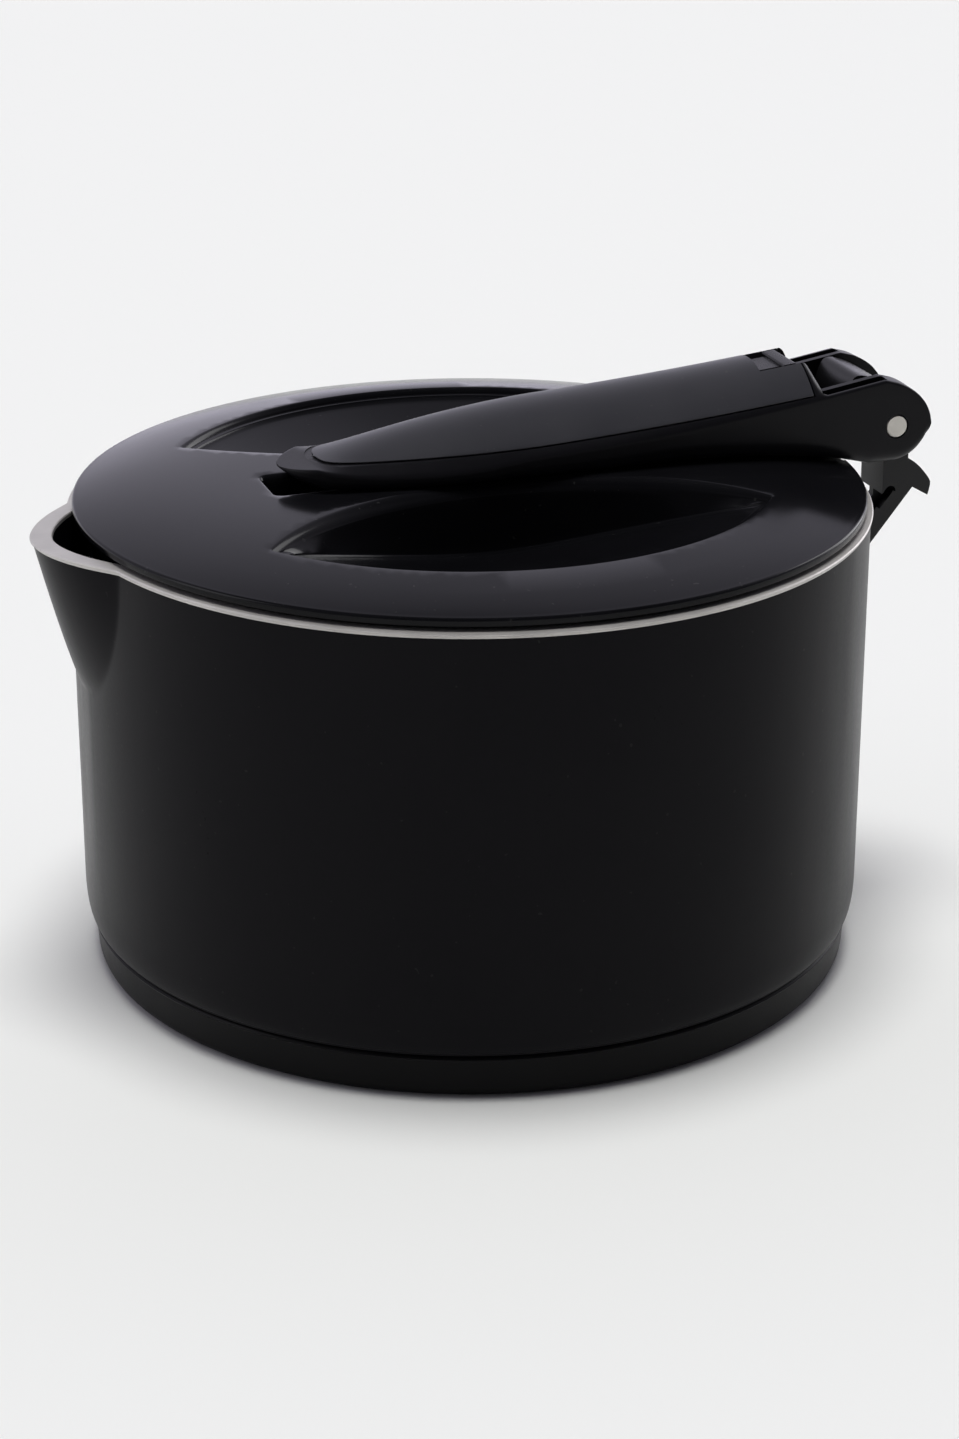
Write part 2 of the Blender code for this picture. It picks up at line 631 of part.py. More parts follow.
def build_saddle(look):
    """The thin curved plate between the pot's wall and the bracket's pad."""
    saddle = piece("bracket_saddle", pad_block(SADDLE_MARGIN, WALL_RADIUS - OVERRUN, PAD_FACE_X), look)
    outer = WALL_RADIUS + SEAT_GAP + SADDLE
    low, high = PAD_BOTTOM - OVERRUN, PAD_TOP + OVERRUN
    inner = rod(WALL_RADIUS + SEAT_GAP, low, high, ROUND_SIDES)
    combine(saddle, "DIFFERENCE", helper("saddle_inside", inner))
    combine(saddle, "INTERSECT", helper("saddle_outside", rod(outer, low, high, ROUND_SIDES)))
    combine(saddle, "DIFFERENCE", bracket_screw_holes("saddle_screw_holes"))


def build_bracket_screws(look):
    """Two screws, driven from inside the pot through its wall and the saddle into the bracket."""
    seat, end = bracket_screw_reach()
    for number, place in enumerate(bracket_screw_places(), 1):
        driven = along_x(screw((0.0, 0.0), seat, end - seat), *place)
        piece(f"bracket_screw_{number}", driven, look)


def arm_top(x):
    """Height of the arm's upper edge at x: a line that passes under the outer end of the neck."""
    outer = PIN_REACH + NECK_END
    return PIN_HEIGHT - ARM_TOP_DROP - (outer - x) * math.tan(ARM_TOP_SLOPE)


def hook_outline():
    """The arm's plate from the pad's foot along its lower edge to the notch, round the hook and back."""
    root = PAD_FACE_X - PAD_THICKNESS / 2
    notch = from_pin(HOOK_NOTCH_RADIUS, HOOK_NOTCH_ANGLE)
    outline = [(root, notch[1] - (notch[0] - root) * math.tan(ARM_SLOPE)), notch]
    outline.append(from_pin(HOOK_TIP_RADIUS, HOOK_TIP_ANGLE))
    outline += [from_pin(share * HOOK_TIP_RADIUS, math.radians(turn)) for share, turn in HOOK_BACK_SHARES]
    inside = PIN_REACH + (NECK_START + NECK_END) / 2
    outline += [(inside, outline[-1][1]), (inside, arm_top(inside)), (root, arm_top(root))]
    return outline


def flange_outline():
    """The strip along the arm's upper edge."""
    start, end = PAD_FACE_X - PAD_THICKNESS / 2, PIN_REACH + NECK_END
    top = [(start, arm_top(start)), (end, arm_top(end))]
    drop = FLANGE_THICKNESS / math.cos(ARM_TOP_SLOPE)
    return top + [(x, z - drop) for x, z in reversed(top)]


def neck_outline():
    """The neck from the arm's upper edge up into the knuckle."""
    inner, outer = PIN_REACH + NECK_START, PIN_REACH + NECK_END
    top = PIN_HEIGHT - EAR_END_RADIUS / 2
    drop = FLANGE_THICKNESS / 2
    return [(inner, arm_top(inner) - drop), (outer, arm_top(outer) - drop), (outer, top - drop), (inner, top)]


def pocket_cutters():
    """The long pocket in each side of the arm, under its flange."""
    notch = from_pin(HOOK_NOTCH_RADIUS, HOOK_NOTCH_ANGLE)
    outline = rounded_rectangle(POCKET_LENGTH, POCKET_WIDTH, POCKET_WIDTH / 2 - RUN_GAP)
    turn = np.array([[math.cos(ARM_SLOPE), -math.sin(ARM_SLOPE)], [math.sin(ARM_SLOPE), math.cos(ARM_SLOPE)]])
    along = POCKET_LENGTH / 2 + POCKET_WIDTH
    inward = POCKET_WIDTH * POCKET_INSET_SHARE
    centre_x = notch[0] - along * math.cos(ARM_SLOPE) - inward * math.sin(ARM_SLOPE)
    centre_z = notch[1] - along * math.sin(ARM_SLOPE) + inward * math.cos(ARM_SLOPE)
    outline = outline @ turn.T + (centre_x, centre_z)
    middle = HOOK_WIDTH / 2 - POCKET_DEPTH + OVERRUN
    return helper("arm_pockets", *[prism(outline, OVERRUN, side * middle) for side in (-1, 1)])


def build_bracket(look):
    """The moulded bracket: pad, arm with its flange and hook, neck and knuckle."""
    root = piece("handle_bracket", pad_block(0, WALL_RADIUS - OVERRUN, PAD_FACE_X), look)
    outline = [from_pin(share * EAR_END_RADIUS, math.radians(turn)) for share, turn in KNUCKLE_SHARES]
    combine(root, "UNION", helper("arm_plate", prism(hook_outline(), HOOK_WIDTH / 2)))
    combine(root, "UNION", helper("arm_flange", prism(flange_outline(), FLANGE_WIDTH / 2)))
    combine(root, "UNION", helper("bracket_neck", prism(neck_outline(), NECK_WIDTH / 2)))
    combine(root, "UNION", helper("bracket_knuckle", prism(outline, KNUCKLE_WIDTH / 2)))
    low, high = PAD_BOTTOM - OVERRUN, PAD_TOP + OVERRUN
    inside = rod(PAD_INNER_RADIUS, low, high, ROUND_SIDES)
    bore = rod(bore_radius(BUSH_RADIUS), -HANDLE_WIDTH, HANDLE_WIDTH)
    cutters = [helper("pad_inside", inside), helper("bush_bore", along_y(bore, PIN_REACH, PIN_HEIGHT))]
    combine(root, "DIFFERENCE", *cutters, pocket_cutters(), bracket_screw_holes("bracket_screw_holes"))


def build_hinge(steel, bronze, carrier):
    """The pin in the handle's ears, the bush in the knuckle and the washers between them."""
    pin = along_y(rod(PIN_RADIUS, -HANDLE_WIDTH / 2, HANDLE_WIDTH / 2), PIN_REACH, PIN_HEIGHT)
    piece("hinge_pin", pin, steel, carrier)
    inner, half = bore_radius(PIN_RADIUS), KNUCKLE_WIDTH / 2
    sleeve = turned_ring([(inner, -half), (BUSH_RADIUS, -half), (BUSH_RADIUS, half), (inner, half)], BORE_SIDES)
    piece("hinge_bush", along_y(sleeve, PIN_REACH, PIN_HEIGHT), bronze)
    low = half + SEAT_GAP
    for number, side in enumerate((-1, 1), 1):
        near, far = side * low, side * (low + WASHER_THICKNESS)
        ring = [(inner, near), (WASHER_RADIUS, near), (WASHER_RADIUS, far), (inner, far)]
        washer = along_y(turned_ring(ring, BORE_SIDES), PIN_REACH, PIN_HEIGHT)
        piece(f"hinge_washer_{number}", washer, steel, carrier)


def parting_line(x):
    """Height of the line between the handle's halves: rising ever faster from the tip to the web."""
    start = HANDLE_TIP_X + INLAY_TIP_SETBACK
    share = np.clip((x - start) / (INLAY_END_X - start), 0, 1)
    rise = PARTING_END_RISE - PARTING_TIP_RISE
    curve = PARTING_LINE_SHARE * share + (1 - PARTING_LINE_SHARE) * share**2
    return PIN_HEIGHT + PARTING_TIP_RISE + rise * curve


def taper(x, start, length, share):
    """How wide a tapering outline is at x, as a share of its full width: least at its start."""
    return 1 - share * (1 - np.clip((x - start) / length, 0, 1)) ** 1.5


def blunt(x, start, length):
    """How wide a blunt round end is at x, as a share: nothing at its start, full beyond its length."""
    return np.sqrt(1 - (1 - np.clip((x - start) / length, 0, 1)) ** HANDLE_TIP_SHARE)


def body_half_width(x):
    """Half the handle's width before its blunt tip is rounded."""
    middle = np.clip((x - HANDLE_TIP_X) / (INLAY_END_X - HANDLE_TIP_X), 0, 1)
    full = HANDLE_WIDTH / 2 + HANDLE_SWELL * math.sin(math.pi * middle)
    return full * taper(x, HANDLE_TIP_X, HANDLE_TAPER_LENGTH, HANDLE_TAPER_SHARE)


def inlay_half_width(x):
    """Half the inlay's width before its blunt tip is rounded."""
    full = HANDLE_WIDTH / 2 - INLAY_MARGIN
    return full * taper(x, HANDLE_TIP_X + INLAY_TIP_SETBACK, INLAY_TAPER_LENGTH, INLAY_TAPER_SHARE)


def handle_station(x):
    """One section of the grip: (x, half width, bottom, edge height, crown height)."""
    start = HANDLE_TIP_X + INLAY_TIP_SETBACK
    rise = HANDLE_CROWN * (1 - (1 - np.clip((x - start) / HANDLE_CROWN_LENGTH, 0, 1)) ** 2)
    covered = (inlay_half_width(x) / body_half_width(x)) ** 2
    drop = rise * (1 - covered) / covered
    edge = parting_line(x) - drop - HANDLE_TIP_DROP * np.clip((start - x) / INLAY_TIP_SETBACK, 0, 1)
    bottom = max(lid_top(x) + HANDLE_REST_GAP, PIN_HEIGHT - EAR_BOTTOM_RADIUS)
    bow = np.clip((x - HANDLE_TIP_X) / HANDLE_BOW_LENGTH, 0, 1)
    bottom += (edge - HANDLE_TIP_RISE - bottom) * (1 - bow) ** 2
    half = body_half_width(x) * blunt(x, HANDLE_TIP_X, HANDLE_TIP_LENGTH)
    return x, half, bottom, edge, rise + drop


def ear_station(x):
    """One section between the grip and the ears' peak: the crown dies away and the edge climbs."""
    _, half, bottom, start, crown = handle_station(INLAY_END_X)
    peak = PIN_REACH - EAR_PEAK_SETBACK
    along = (x - INLAY_END_X) / (peak - INLAY_END_X)
    fade = max(0, 1 - ((x - INLAY_END_X) / WEB_WIDTH) ** 2)
    edge = start + (PIN_HEIGHT + EAR_PEAK_RISE - start) * along
    bottom = max(lid_top(x) + HANDLE_REST_GAP, PIN_HEIGHT - EAR_BOTTOM_RADIUS)
    return x, half, bottom, edge, EAR_CROWN + (crown - EAR_CROWN) * fade


def end_station(turn):
    """One section of the ears' round end, by its direction from the pin."""
    x = PIN_REACH + EAR_END_RADIUS * math.sin(turn)
    shoulder = EAR_SHOULDER * (1 - math.sin(turn)) ** 2
    edge = PIN_HEIGHT + EAR_END_RADIUS * math.cos(turn) + shoulder
    bottom = PIN_HEIGHT - EAR_BOTTOM_RADIUS * math.cos(turn)
    return x, HANDLE_WIDTH / 2, bottom, edge, EAR_CROWN * math.cos(turn)


def section(x, half, bottom, edge, crown):
    """The closed outline of one section: flat below, tucked in at the lower sides, crowned on top."""
    depth = edge - bottom
    tuck = min(HANDLE_TUCK, half / 2, depth / 2)
    side = [(half - tuck, bottom), (half - tuck / 3, bottom + tuck / 3), (half, bottom + tuck), (half, edge)]
    for share in SECTION_CROWN_SHARES:
        side.append((share * half, edge + crown * (1 - share**HANDLE_CROWN_SHARE)))
    left = [(-y, z) for y, z in reversed(side)]
    return [(x, y, z) for y, z in side + left]


def handle_envelope():
    """The whole outside of the handle, both halves together, before anything is cut."""
    shares = np.array(TIP_STATION_SHARES)
    stations = [handle_station(x) for x in HANDLE_TIP_X + HANDLE_TIP_LENGTH * shares]
    stations += [handle_station(x) for x in np.linspace(HANDLE_TIP_X + HANDLE_TIP_LENGTH, INLAY_END_X, 13)]
    peak = PIN_REACH - EAR_PEAK_SETBACK
    stations += [ear_station(INLAY_END_X + share * WEB_WIDTH) for share in WEB_STATION_SHARES]
    stations += [ear_station(INLAY_END_X + share * (peak - INLAY_END_X)) for share in (*EAR_STATION_SHARES, 1.0)]
    stations += [end_station(turn) for turn in END_STATION_ANGLES]
    tip = (HANDLE_TIP_X, 0, parting_line(HANDLE_TIP_X) - HANDLE_TIP_DROP - HANDLE_TIP_RISE / 2)
    return loft([section(*station) for station in stations], start_pole=tip)


def inlay_space(gap):
    """The space that the inlay fills, shrunk by a gap: its outline seen from above, over the parting line."""
    start = HANDLE_TIP_X + INLAY_TIP_SETBACK
    end = INLAY_END_X - gap
    shares = np.array(INLAY_STATION_SHARES)
    places = [*(start + gap + shares * INLAY_TIP_LENGTH), *np.linspace(start + INLAY_TIP_LENGTH, end, 13)]
    top = PIN_HEIGHT + PARTING_END_RISE + 2 * HANDLE_CROWN
    rings = []
    for x in places:
        half = inlay_half_width(x) * blunt(x, start, INLAY_TIP_LENGTH) - gap
        low = parting_line(x) + gap
        rings.append([(x, -half, low), (x, half, low), (x, half, top), (x, -half, top)])
    return loft(rings)


def latch_frame():
    """Where the bolt's nose ends at its underside, folded: past the hook's tip as the open handle holds it."""
    x, z = from_pin(HOOK_TIP_RADIUS, HOOK_TIP_ANGLE + OPEN_ANGLE)
    return x + CATCH_OVERLAP, z + CATCH_CLEARANCE


def in_latch(points):
    """Turns points (along the slide, across, up from the bolt's underside) into places on the handle."""
    points = np.asarray(points, float)
    x, z = latch_frame()
    across, up = math.cos(LATCH_TILT), math.sin(LATCH_TILT)
    return np.column_stack([x + points[:, 0] * across - points[:, 2] * up, points[:, 1],
                            z + points[:, 0] * up + points[:, 2] * across])


def latch_block(start, end, half_width, low, high):
    """A box in the latch's own directions."""
    points, faces = block((start, -half_width, low), (end, half_width, high))
    return in_latch(points), faces


def hook_slot():
    """The space that the hook swings through as the handle opens: through the web and into the grip."""
    tip_x = from_pin(HOOK_TIP_RADIUS, HOOK_TIP_ANGLE + OPEN_ANGLE)[0]
    share, turn = HOOK_BACK_SHARES[-1]
    floor = from_pin(share * HOOK_TIP_RADIUS, math.radians(turn) + OPEN_ANGLE)[1]
    low = (tip_x - HOOK_POCKET_GAP, -WINDOW_WIDTH / 2, floor - HOOK_POCKET_GAP)
    high = (WEB_END_X + OVERRUN, WINDOW_WIDTH / 2, PIN_HEIGHT + PARTING_END_RISE + 2 * HANDLE_CROWN)
    return block(low, high)


def inlay_screw_places():
    """Two places along the grip, as (x, y)."""
    length = INLAY_END_X - HANDLE_TIP_X
    return [(HANDLE_TIP_X + share * length, 0.0) for share in INLAY_SCREW_SHARES]


def inlay_screw_seat(place):
    """Height of the screw's seat: its head lies sunk in the grip's underside."""
    return lid_top(place[0]) + HANDLE_REST_GAP + SCREW_HEAD_HEIGHT + SEAT_GAP


def inlay_screw_length(place):
    """From the seat to the bite in the inlay."""
    return parting_line(place[0]) + INLAY_SCREW_BITE - inlay_screw_seat(place)


def inlay_screw_holes(name):
    """Stepped holes for the screws, from the grip's underside into the inlay."""
    head = bore_radius(SCREW_HEAD_RADIUS, SCREW_SIDES)
    shank = bore_radius(SCREW_SHANK_RADIUS, SCREW_SIDES)
    holes = []
    for place in inlay_screw_places():
        seat = inlay_screw_seat(place) + SEAT_GAP
        low, top = seat - OVERRUN, seat + inlay_screw_length(place)
        profile = [(0, low), (head, low), (head, seat), (shank, seat), (shank, top), (0, top)]
        holes.append(turned(profile, SCREW_SIDES, place))
    return helper(name, *holes)


def ear_slots():
    """The cored slot in the top of each ear."""
    low = PIN_HEIGHT + EAR_PEAK_RISE - EAR_SLOT_DEPTH
    high = PIN_HEIGHT + EAR_PEAK_RISE + HANDLE_CROWN
    start = WEB_END_X - EAR_SLOT_WALL
    middle = (HANDLE_WIDTH - EAR_SLOT_WIDTH) / 2 - EAR_SLOT_WALL
    slots = []
    for side in (-1, 1):
        near, far = side * middle - EAR_SLOT_WIDTH / 2, side * middle + EAR_SLOT_WIDTH / 2
        slots.append(block((start, near, low), (start + EAR_SLOT_LENGTH, far, high)))
    return helper("ear_slots", *slots)


def build_handle_body(look, carrier):
    """The lower half of the handle with its ears, the rail that the bolt slides on and the pin's bore."""
    body = piece("handle_body", handle_envelope(), look, carrier)
    combine(body, "DIFFERENCE", helper("inlay_recess", inlay_space(0)))
    tail = -BOLT_LENGTH
    depth = -(PARTING_END_RISE + HANDLE_CROWN) / 2
    rail_end = -CATCH_OVERLAP - HOOK_POCKET_GAP - BOLT_WIDTH / 3
    rail = latch_block(tail, rail_end, BOLT_WIDTH / 2 - SEAT_GAP, depth, -SEAT_GAP)
    combine(body, "UNION", helper("latch_rail", rail))
    half = FORK_WIDTH / 2
    top = PIN_HEIGHT + PARTING_END_RISE + 2 * HANDLE_CROWN
    low = (WEB_END_X, -half, PIN_HEIGHT - 2 * EAR_BOTTOM_RADIUS)
    high = (PIN_REACH + 2 * EAR_END_RADIUS, half, top)
    combine(body, "DIFFERENCE", helper("fork_gap", block(low, high)))
    combine(body, "DIFFERENCE", helper("web_slot", hook_slot()), ear_slots())
    bore = rod(bore_radius(PIN_RADIUS), -HANDLE_WIDTH, HANDLE_WIDTH)
    combine(body, "DIFFERENCE", helper("pin_bore", along_y(bore, PIN_REACH, PIN_HEIGHT)))
    combine(body, "DIFFERENCE", inlay_screw_holes("body_screw_holes"))


def build_inlay(look, carrier):
    """The crowned upper half: the part of the envelope over the parting line, with the latch's channel."""
    inlay = piece("handle_inlay", handle_envelope(), look, carrier)
    combine(inlay, "INTERSECT", helper("inlay_outline", inlay_space(PARTING_GAP)))
    start = PIN_REACH - WINDOW_FROM_PIN
    top = PIN_HEIGHT + PARTING_END_RISE + 2 * HANDLE_CROWN
    low = (start, -WINDOW_WIDTH / 2, PIN_HEIGHT)
    window = block(low, (WEB_END_X, WINDOW_WIDTH / 2, top))
    tail = -BOLT_LENGTH - LATCH_TRAVEL - SEAT_GAP
    below = -(PARTING_END_RISE + HANDLE_CROWN)
    roof = BOLT_THICKNESS + SEAT_GAP
    channel = latch_block(tail, 0, BOLT_WIDTH / 2 + SEAT_GAP, below, roof)
    middle, reach = BOLT_THICKNESS / 2, SPRING_RADIUS + SPRING_WIRE_RADIUS + SEAT_GAP
    end = -BOLT_LENGTH - SPRING_LENGTH - 2 * SEAT_GAP
    spring_room = latch_block(end, -BOLT_LENGTH, reach, below, middle + reach)
    combine(inlay, "DIFFERENCE", helper("inlay_window", window), helper("bolt_channel", channel))
    tail = -THUMB_FROM_NOSE - THUMB_LENGTH - LATCH_TRAVEL - SEAT_GAP
    roof = BOLT_THICKNESS + THUMB_PLATE + 2 * SEAT_GAP
    room = latch_block(tail, -THUMB_FROM_NOSE, THUMB_PLATE_WIDTH / 2 + SEAT_GAP, 0, roof)
    combine(inlay, "DIFFERENCE", helper("plate_channel", room))
    combine(inlay, "DIFFERENCE", helper("spring_channel", spring_room), inlay_screw_holes("inlay_screw_holes"))


def build_inlay_screws(look, carrier):
    """The two screws that hold the inlay down."""
    for number, place in enumerate(inlay_screw_places(), 1):
        length = inlay_screw_length(place) - SEAT_GAP
        piece(f"inlay_screw_{number}", screw(place, inlay_screw_seat(place), length), look, carrier)


def build_latch(steel, plastic, spring_look, carrier, handle_carrier):
    """The bolt with its ramped nose, the thumb piece pegged through it and the spring behind it."""
    half, thick = BOLT_WIDTH / 2, BOLT_THICKNESS
    outline = [(-BOLT_LENGTH, 0), (0, 0), (0, thick - BOLT_RAMP_HEIGHT), (-BOLT_RAMP_LENGTH, thick)]
    outline.append((-BOLT_LENGTH, thick))
    points, faces = prism(outline, half)
    bolt = piece("latch_bolt", (in_latch(points), faces), steel, carrier)
    centre = -THUMB_FROM_NOSE - THUMB_LENGTH / 2
    hole = rod(bore_radius(THUMB_PEG_RADIUS, SCREW_SIDES), -OVERRUN, OVERRUN, SCREW_SIDES, (centre, 0))
    combine(bolt, "DIFFERENCE", helper("peg_hole", (in_latch(hole[0]), hole[1])))

    low = thick + SEAT_GAP
    plate, top = low + THUMB_PLATE, low + THUMB_PLATE + RIDGE_HEIGHT
    end = -THUMB_FROM_NOSE
    start, foot = end - THUMB_LENGTH, end - RIDGE_LENGTH
    outline = [(foot, low), (end, low), (end, top - THUMB_ROUND)]
    for turn in np.linspace(0, math.pi / 2, 4)[1:]:
        outline.append((end - THUMB_ROUND * (1 - math.cos(turn)), top - THUMB_ROUND * (1 - math.sin(turn))))
    outline.append((foot, top))
    points, faces = prism(outline, half)
    thumb = piece("latch_thumb", (in_latch(points), faces), plastic, carrier)
    tongue = latch_block(start, end - RIDGE_LENGTH / 2, THUMB_PLATE_WIDTH / 2, low, plate)
    combine(thumb, "UNION", helper("thumb_plate", tongue))
    peg = rod(THUMB_PEG_RADIUS, 0, low + THUMB_PLATE / 2, SCREW_SIDES, (centre, 0))
    combine(thumb, "UNION", helper("thumb_peg", (in_latch(peg[0]), peg[1])))

    start = -BOLT_LENGTH - SEAT_GAP - SPRING_WIRE_RADIUS
    length = SPRING_LENGTH - 2 * SPRING_WIRE_RADIUS
    turns = np.linspace(0, math.tau * SPRING_TURNS, SPRING_TURNS * SPRING_STEPS + 1)
    path = np.column_stack([start - length * turns / turns[-1], SPRING_RADIUS * np.cos(turns),
                            thick / 2 + SPRING_RADIUS * np.sin(turns)])
    wire = tube(path, SPRING_WIRE_RADIUS, SPRING_SIDES)
    piece("latch_spring", (in_latch(wire[0]), wire[1]), spring_look, handle_carrier)


def tube(path, radius, sides):
    """A wire along a path round the first axis: each ring faces along the path."""
    ahead = np.gradient(path, axis=0)
    ahead /= np.linalg.norm(ahead, axis=1)[:, None]
    side = np.cross(ahead, (1.0, 0.0, 0.0))
    side /= np.linalg.norm(side, axis=1)[:, None]
    up = np.cross(side, ahead)
    turns = np.linspace(0, math.tau, sides, endpoint=False)
    rings = [place + radius * (np.outer(np.cos(turns), a) + np.outer(np.sin(turns), b))
             for place, a, b in zip(path, side, up)]
    return loft(rings)


def main():
    for old in list(bpy.data.objects):
        bpy.data.objects.remove(old, do_unlink=True)
    coating = material("black_coating", (0.012, 0.012, 0.016), 0.30, 0.0)
    aluminium = material("bare_aluminium", (0.72, 0.71, 0.68), 0.35, 1.0)
    steel = material("steel", (0.66, 0.65, 0.63), 0.30, 1.0)
    dark_steel = material("blackened_steel", (0.05, 0.05, 0.055), 0.40, 1.0)
    bronze = material("bronze", (0.55, 0.38, 0.20), 0.40, 1.0)
    glossy = material("glossy_black", (0.020, 0.020, 0.026), 0.12, 0.0)
    satin = material("satin_grey", (0.055, 0.055, 0.065), 0.45, 0.0)
    matte = material("matte_black", (0.018, 0.018, 0.020), 0.55, 0.0)
    rubber = material("grey_silicone", (0.10, 0.10, 0.11), 0.70, 0.0)

    pin = (PIN_REACH, 0.0, PIN_HEIGHT)
    nose_x, nose_z = latch_frame()
    handle_carrier = pivot("handle_pivot", pin)
    latch_carrier = pivot("latch_slide_axis", (nose_x, 0.0, nose_z))
    lid_carrier = pivot("lid_axis", (0.0, 0.0, SKIRT_BOTTOM))

    build_pot(coating)
    build_base(coating, aluminium)
    build_lid(glossy, matte, rubber, steel, lid_carrier)
    build_saddle(dark_steel)
    build_bracket(matte)
    build_bracket_screws(steel)
    build_hinge(steel, bronze, handle_carrier)
    build_handle_body(matte, handle_carrier)
    build_inlay(satin, handle_carrier)
    build_inlay_screws(steel, handle_carrier)
    build_latch(dark_steel, matte, steel, latch_carrier, handle_carrier)


main()
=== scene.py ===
# %% [markdown]
# # A low kettle with a folding handle
#
# This kettle is a black cast pot with a pressed pouring lip, a glossy lid that drops into its rim, and a handle
# that folds flat over the lid. The engineering model gives the exact sizes and the moving bodies, but its round
# pieces have only 56 sides. Each cell below makes one real piece again as a fine surface in the same place, so
# that it shows a smooth outline and can carry a real finish. All lengths are in metres.

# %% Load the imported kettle
import math

import bmesh
import bpy
import numpy as np
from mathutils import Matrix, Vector
from mathutils.geometry import delaunay_2d_cdt


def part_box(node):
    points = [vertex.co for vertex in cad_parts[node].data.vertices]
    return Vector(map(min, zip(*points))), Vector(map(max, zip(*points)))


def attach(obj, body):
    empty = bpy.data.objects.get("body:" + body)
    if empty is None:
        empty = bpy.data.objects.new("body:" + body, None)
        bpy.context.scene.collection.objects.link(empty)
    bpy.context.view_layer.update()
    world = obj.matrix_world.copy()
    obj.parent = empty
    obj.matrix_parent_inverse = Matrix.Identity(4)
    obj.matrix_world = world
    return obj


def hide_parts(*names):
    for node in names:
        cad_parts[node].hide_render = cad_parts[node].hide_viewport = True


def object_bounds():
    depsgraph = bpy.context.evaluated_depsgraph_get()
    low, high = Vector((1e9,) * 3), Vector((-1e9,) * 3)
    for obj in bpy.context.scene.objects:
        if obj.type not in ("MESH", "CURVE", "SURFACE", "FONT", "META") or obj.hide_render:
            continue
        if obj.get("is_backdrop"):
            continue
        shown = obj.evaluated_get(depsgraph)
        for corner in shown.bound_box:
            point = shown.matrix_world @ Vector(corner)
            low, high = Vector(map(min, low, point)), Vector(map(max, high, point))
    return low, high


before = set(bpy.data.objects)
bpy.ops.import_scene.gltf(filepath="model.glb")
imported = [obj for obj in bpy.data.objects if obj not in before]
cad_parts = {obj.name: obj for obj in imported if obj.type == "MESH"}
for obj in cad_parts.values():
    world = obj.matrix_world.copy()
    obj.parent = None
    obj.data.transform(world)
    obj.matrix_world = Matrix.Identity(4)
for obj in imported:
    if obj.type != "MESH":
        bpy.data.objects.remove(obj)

cad_bounds = [list(corner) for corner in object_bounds()]
MM = 0.001
print("CAD box", [[round(value / MM, 1) for value in corner] for corner in cad_bounds])

# %% [markdown]
# ## Surfaces from grids of points
#
# A surface here is an array of rows of points. Two neighbouring rows make a strip of four-sided faces, so the
# corner numbers of every face follow from counting. Open ends are closed with a fan of triangles round one
# point. Pieces of one surface that meet at the same points are merged, and then the faces of the closed shell
# are all turned outwards.

# %% Grids, fans and closed shells
def grid_faces(rows, columns, wrap_rows=False):
    """Corner numbers of a grid's quads. Face (i, j) joins points (i, j), (i, j+1), (i+1, j+1) and (i+1, j)."""
    row = np.arange(rows if wrap_rows else rows - 1)[:, None]
    column = np.arange(columns)[None, :]
    next_row, next_column = (row + 1) % rows, (column + 1) % columns
    corners = [row * columns + column, row * columns + next_column,
               next_row * columns + next_column, next_row * columns + column]
    return np.stack([corner.ravel() for corner in corners], axis=1)


def skin(rings, start=None, end=None, wrap_rows=False):
    """Points and faces of a grid of closed rings. A start or end point closes that end with a fan of triangles."""
    rows, columns = rings.shape[:2]
    points = [rings.reshape(-1, 3)]
    faces = grid_faces(rows, columns, wrap_rows).tolist()
    count = rows * columns
    for pole, first in ((start, 0), (end, (rows - 1) * columns)):
        if pole is not None:
            points.append(np.array(pole, float).reshape(1, 3))
            side = first + np.arange(columns)
            fan = np.stack([side, first + (np.arange(columns) + 1) % columns, np.full(columns, count)], axis=1)
            faces += fan.tolist()
            count += 1
    return np.concatenate(points), faces


def shell(name, surfaces, body=None, looks=(), merge=1e-7, sharp=35.0):
    """Joins surfaces of (points, faces) into one closed piece with outward faces, smooth below an angle."""
    mesh = bpy.data.meshes.new(name)
    start, points, faces = 0, [], []
    for part_points, part_faces in surfaces:
        points.append(part_points)
        faces += [tuple(start + index for index in face) for face in part_faces]
        start += len(part_points)
    mesh.from_pydata(np.concatenate(points).tolist(), [], faces)
    work = bmesh.new()
    work.from_mesh(mesh)
    bmesh.ops.remove_doubles(work, verts=work.verts, dist=merge)
    bmesh.ops.recalc_face_normals(work, faces=work.faces)
    open_edges = sum(not edge.is_manifold for edge in work.edges)
    work.to_mesh(mesh)
    work.free()
    mesh.shade_smooth()
    mesh.set_sharp_from_angle(angle=math.radians(sharp))
    for look in looks:
        mesh.materials.append(look)
    piece = bpy.data.objects.new(name, mesh)
    bpy.context.scene.collection.objects.link(piece)
    if body:
        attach(piece, body)
    print(name, len(mesh.polygons), "faces,", open_edges, "open edges")
    return piece


def turned_rings(profile, centre=(0.0, 0.0), sides=256):
    """Rings of a profile of (radius, height) turned about an upright line: x = r cos a, y = r sin a."""
    profile = np.asarray(profile, float)
    angle = np.linspace(0, math.tau, sides, endpoint=False)
    radius = profile[:, :1]
    return np.stack([centre[0] + radius * np.cos(angle), centre[1] + radius * np.sin(angle),
                     profile[:, 1:] + 0 * angle], axis=2)


def laid_along_y(points, x, z):
    """Lays an upright shape down, so that its axis runs along Y through (x, z)."""
    return np.stack([points[..., 0] + x, points[..., 2], points[..., 1] + z], axis=-1)


def laid_along_x(points, y, z):
    """Lays an upright shape down, so that its axis runs along X through (y, z)."""
    return np.stack([points[..., 2], points[..., 0] + y, points[..., 1] + z], axis=-1)


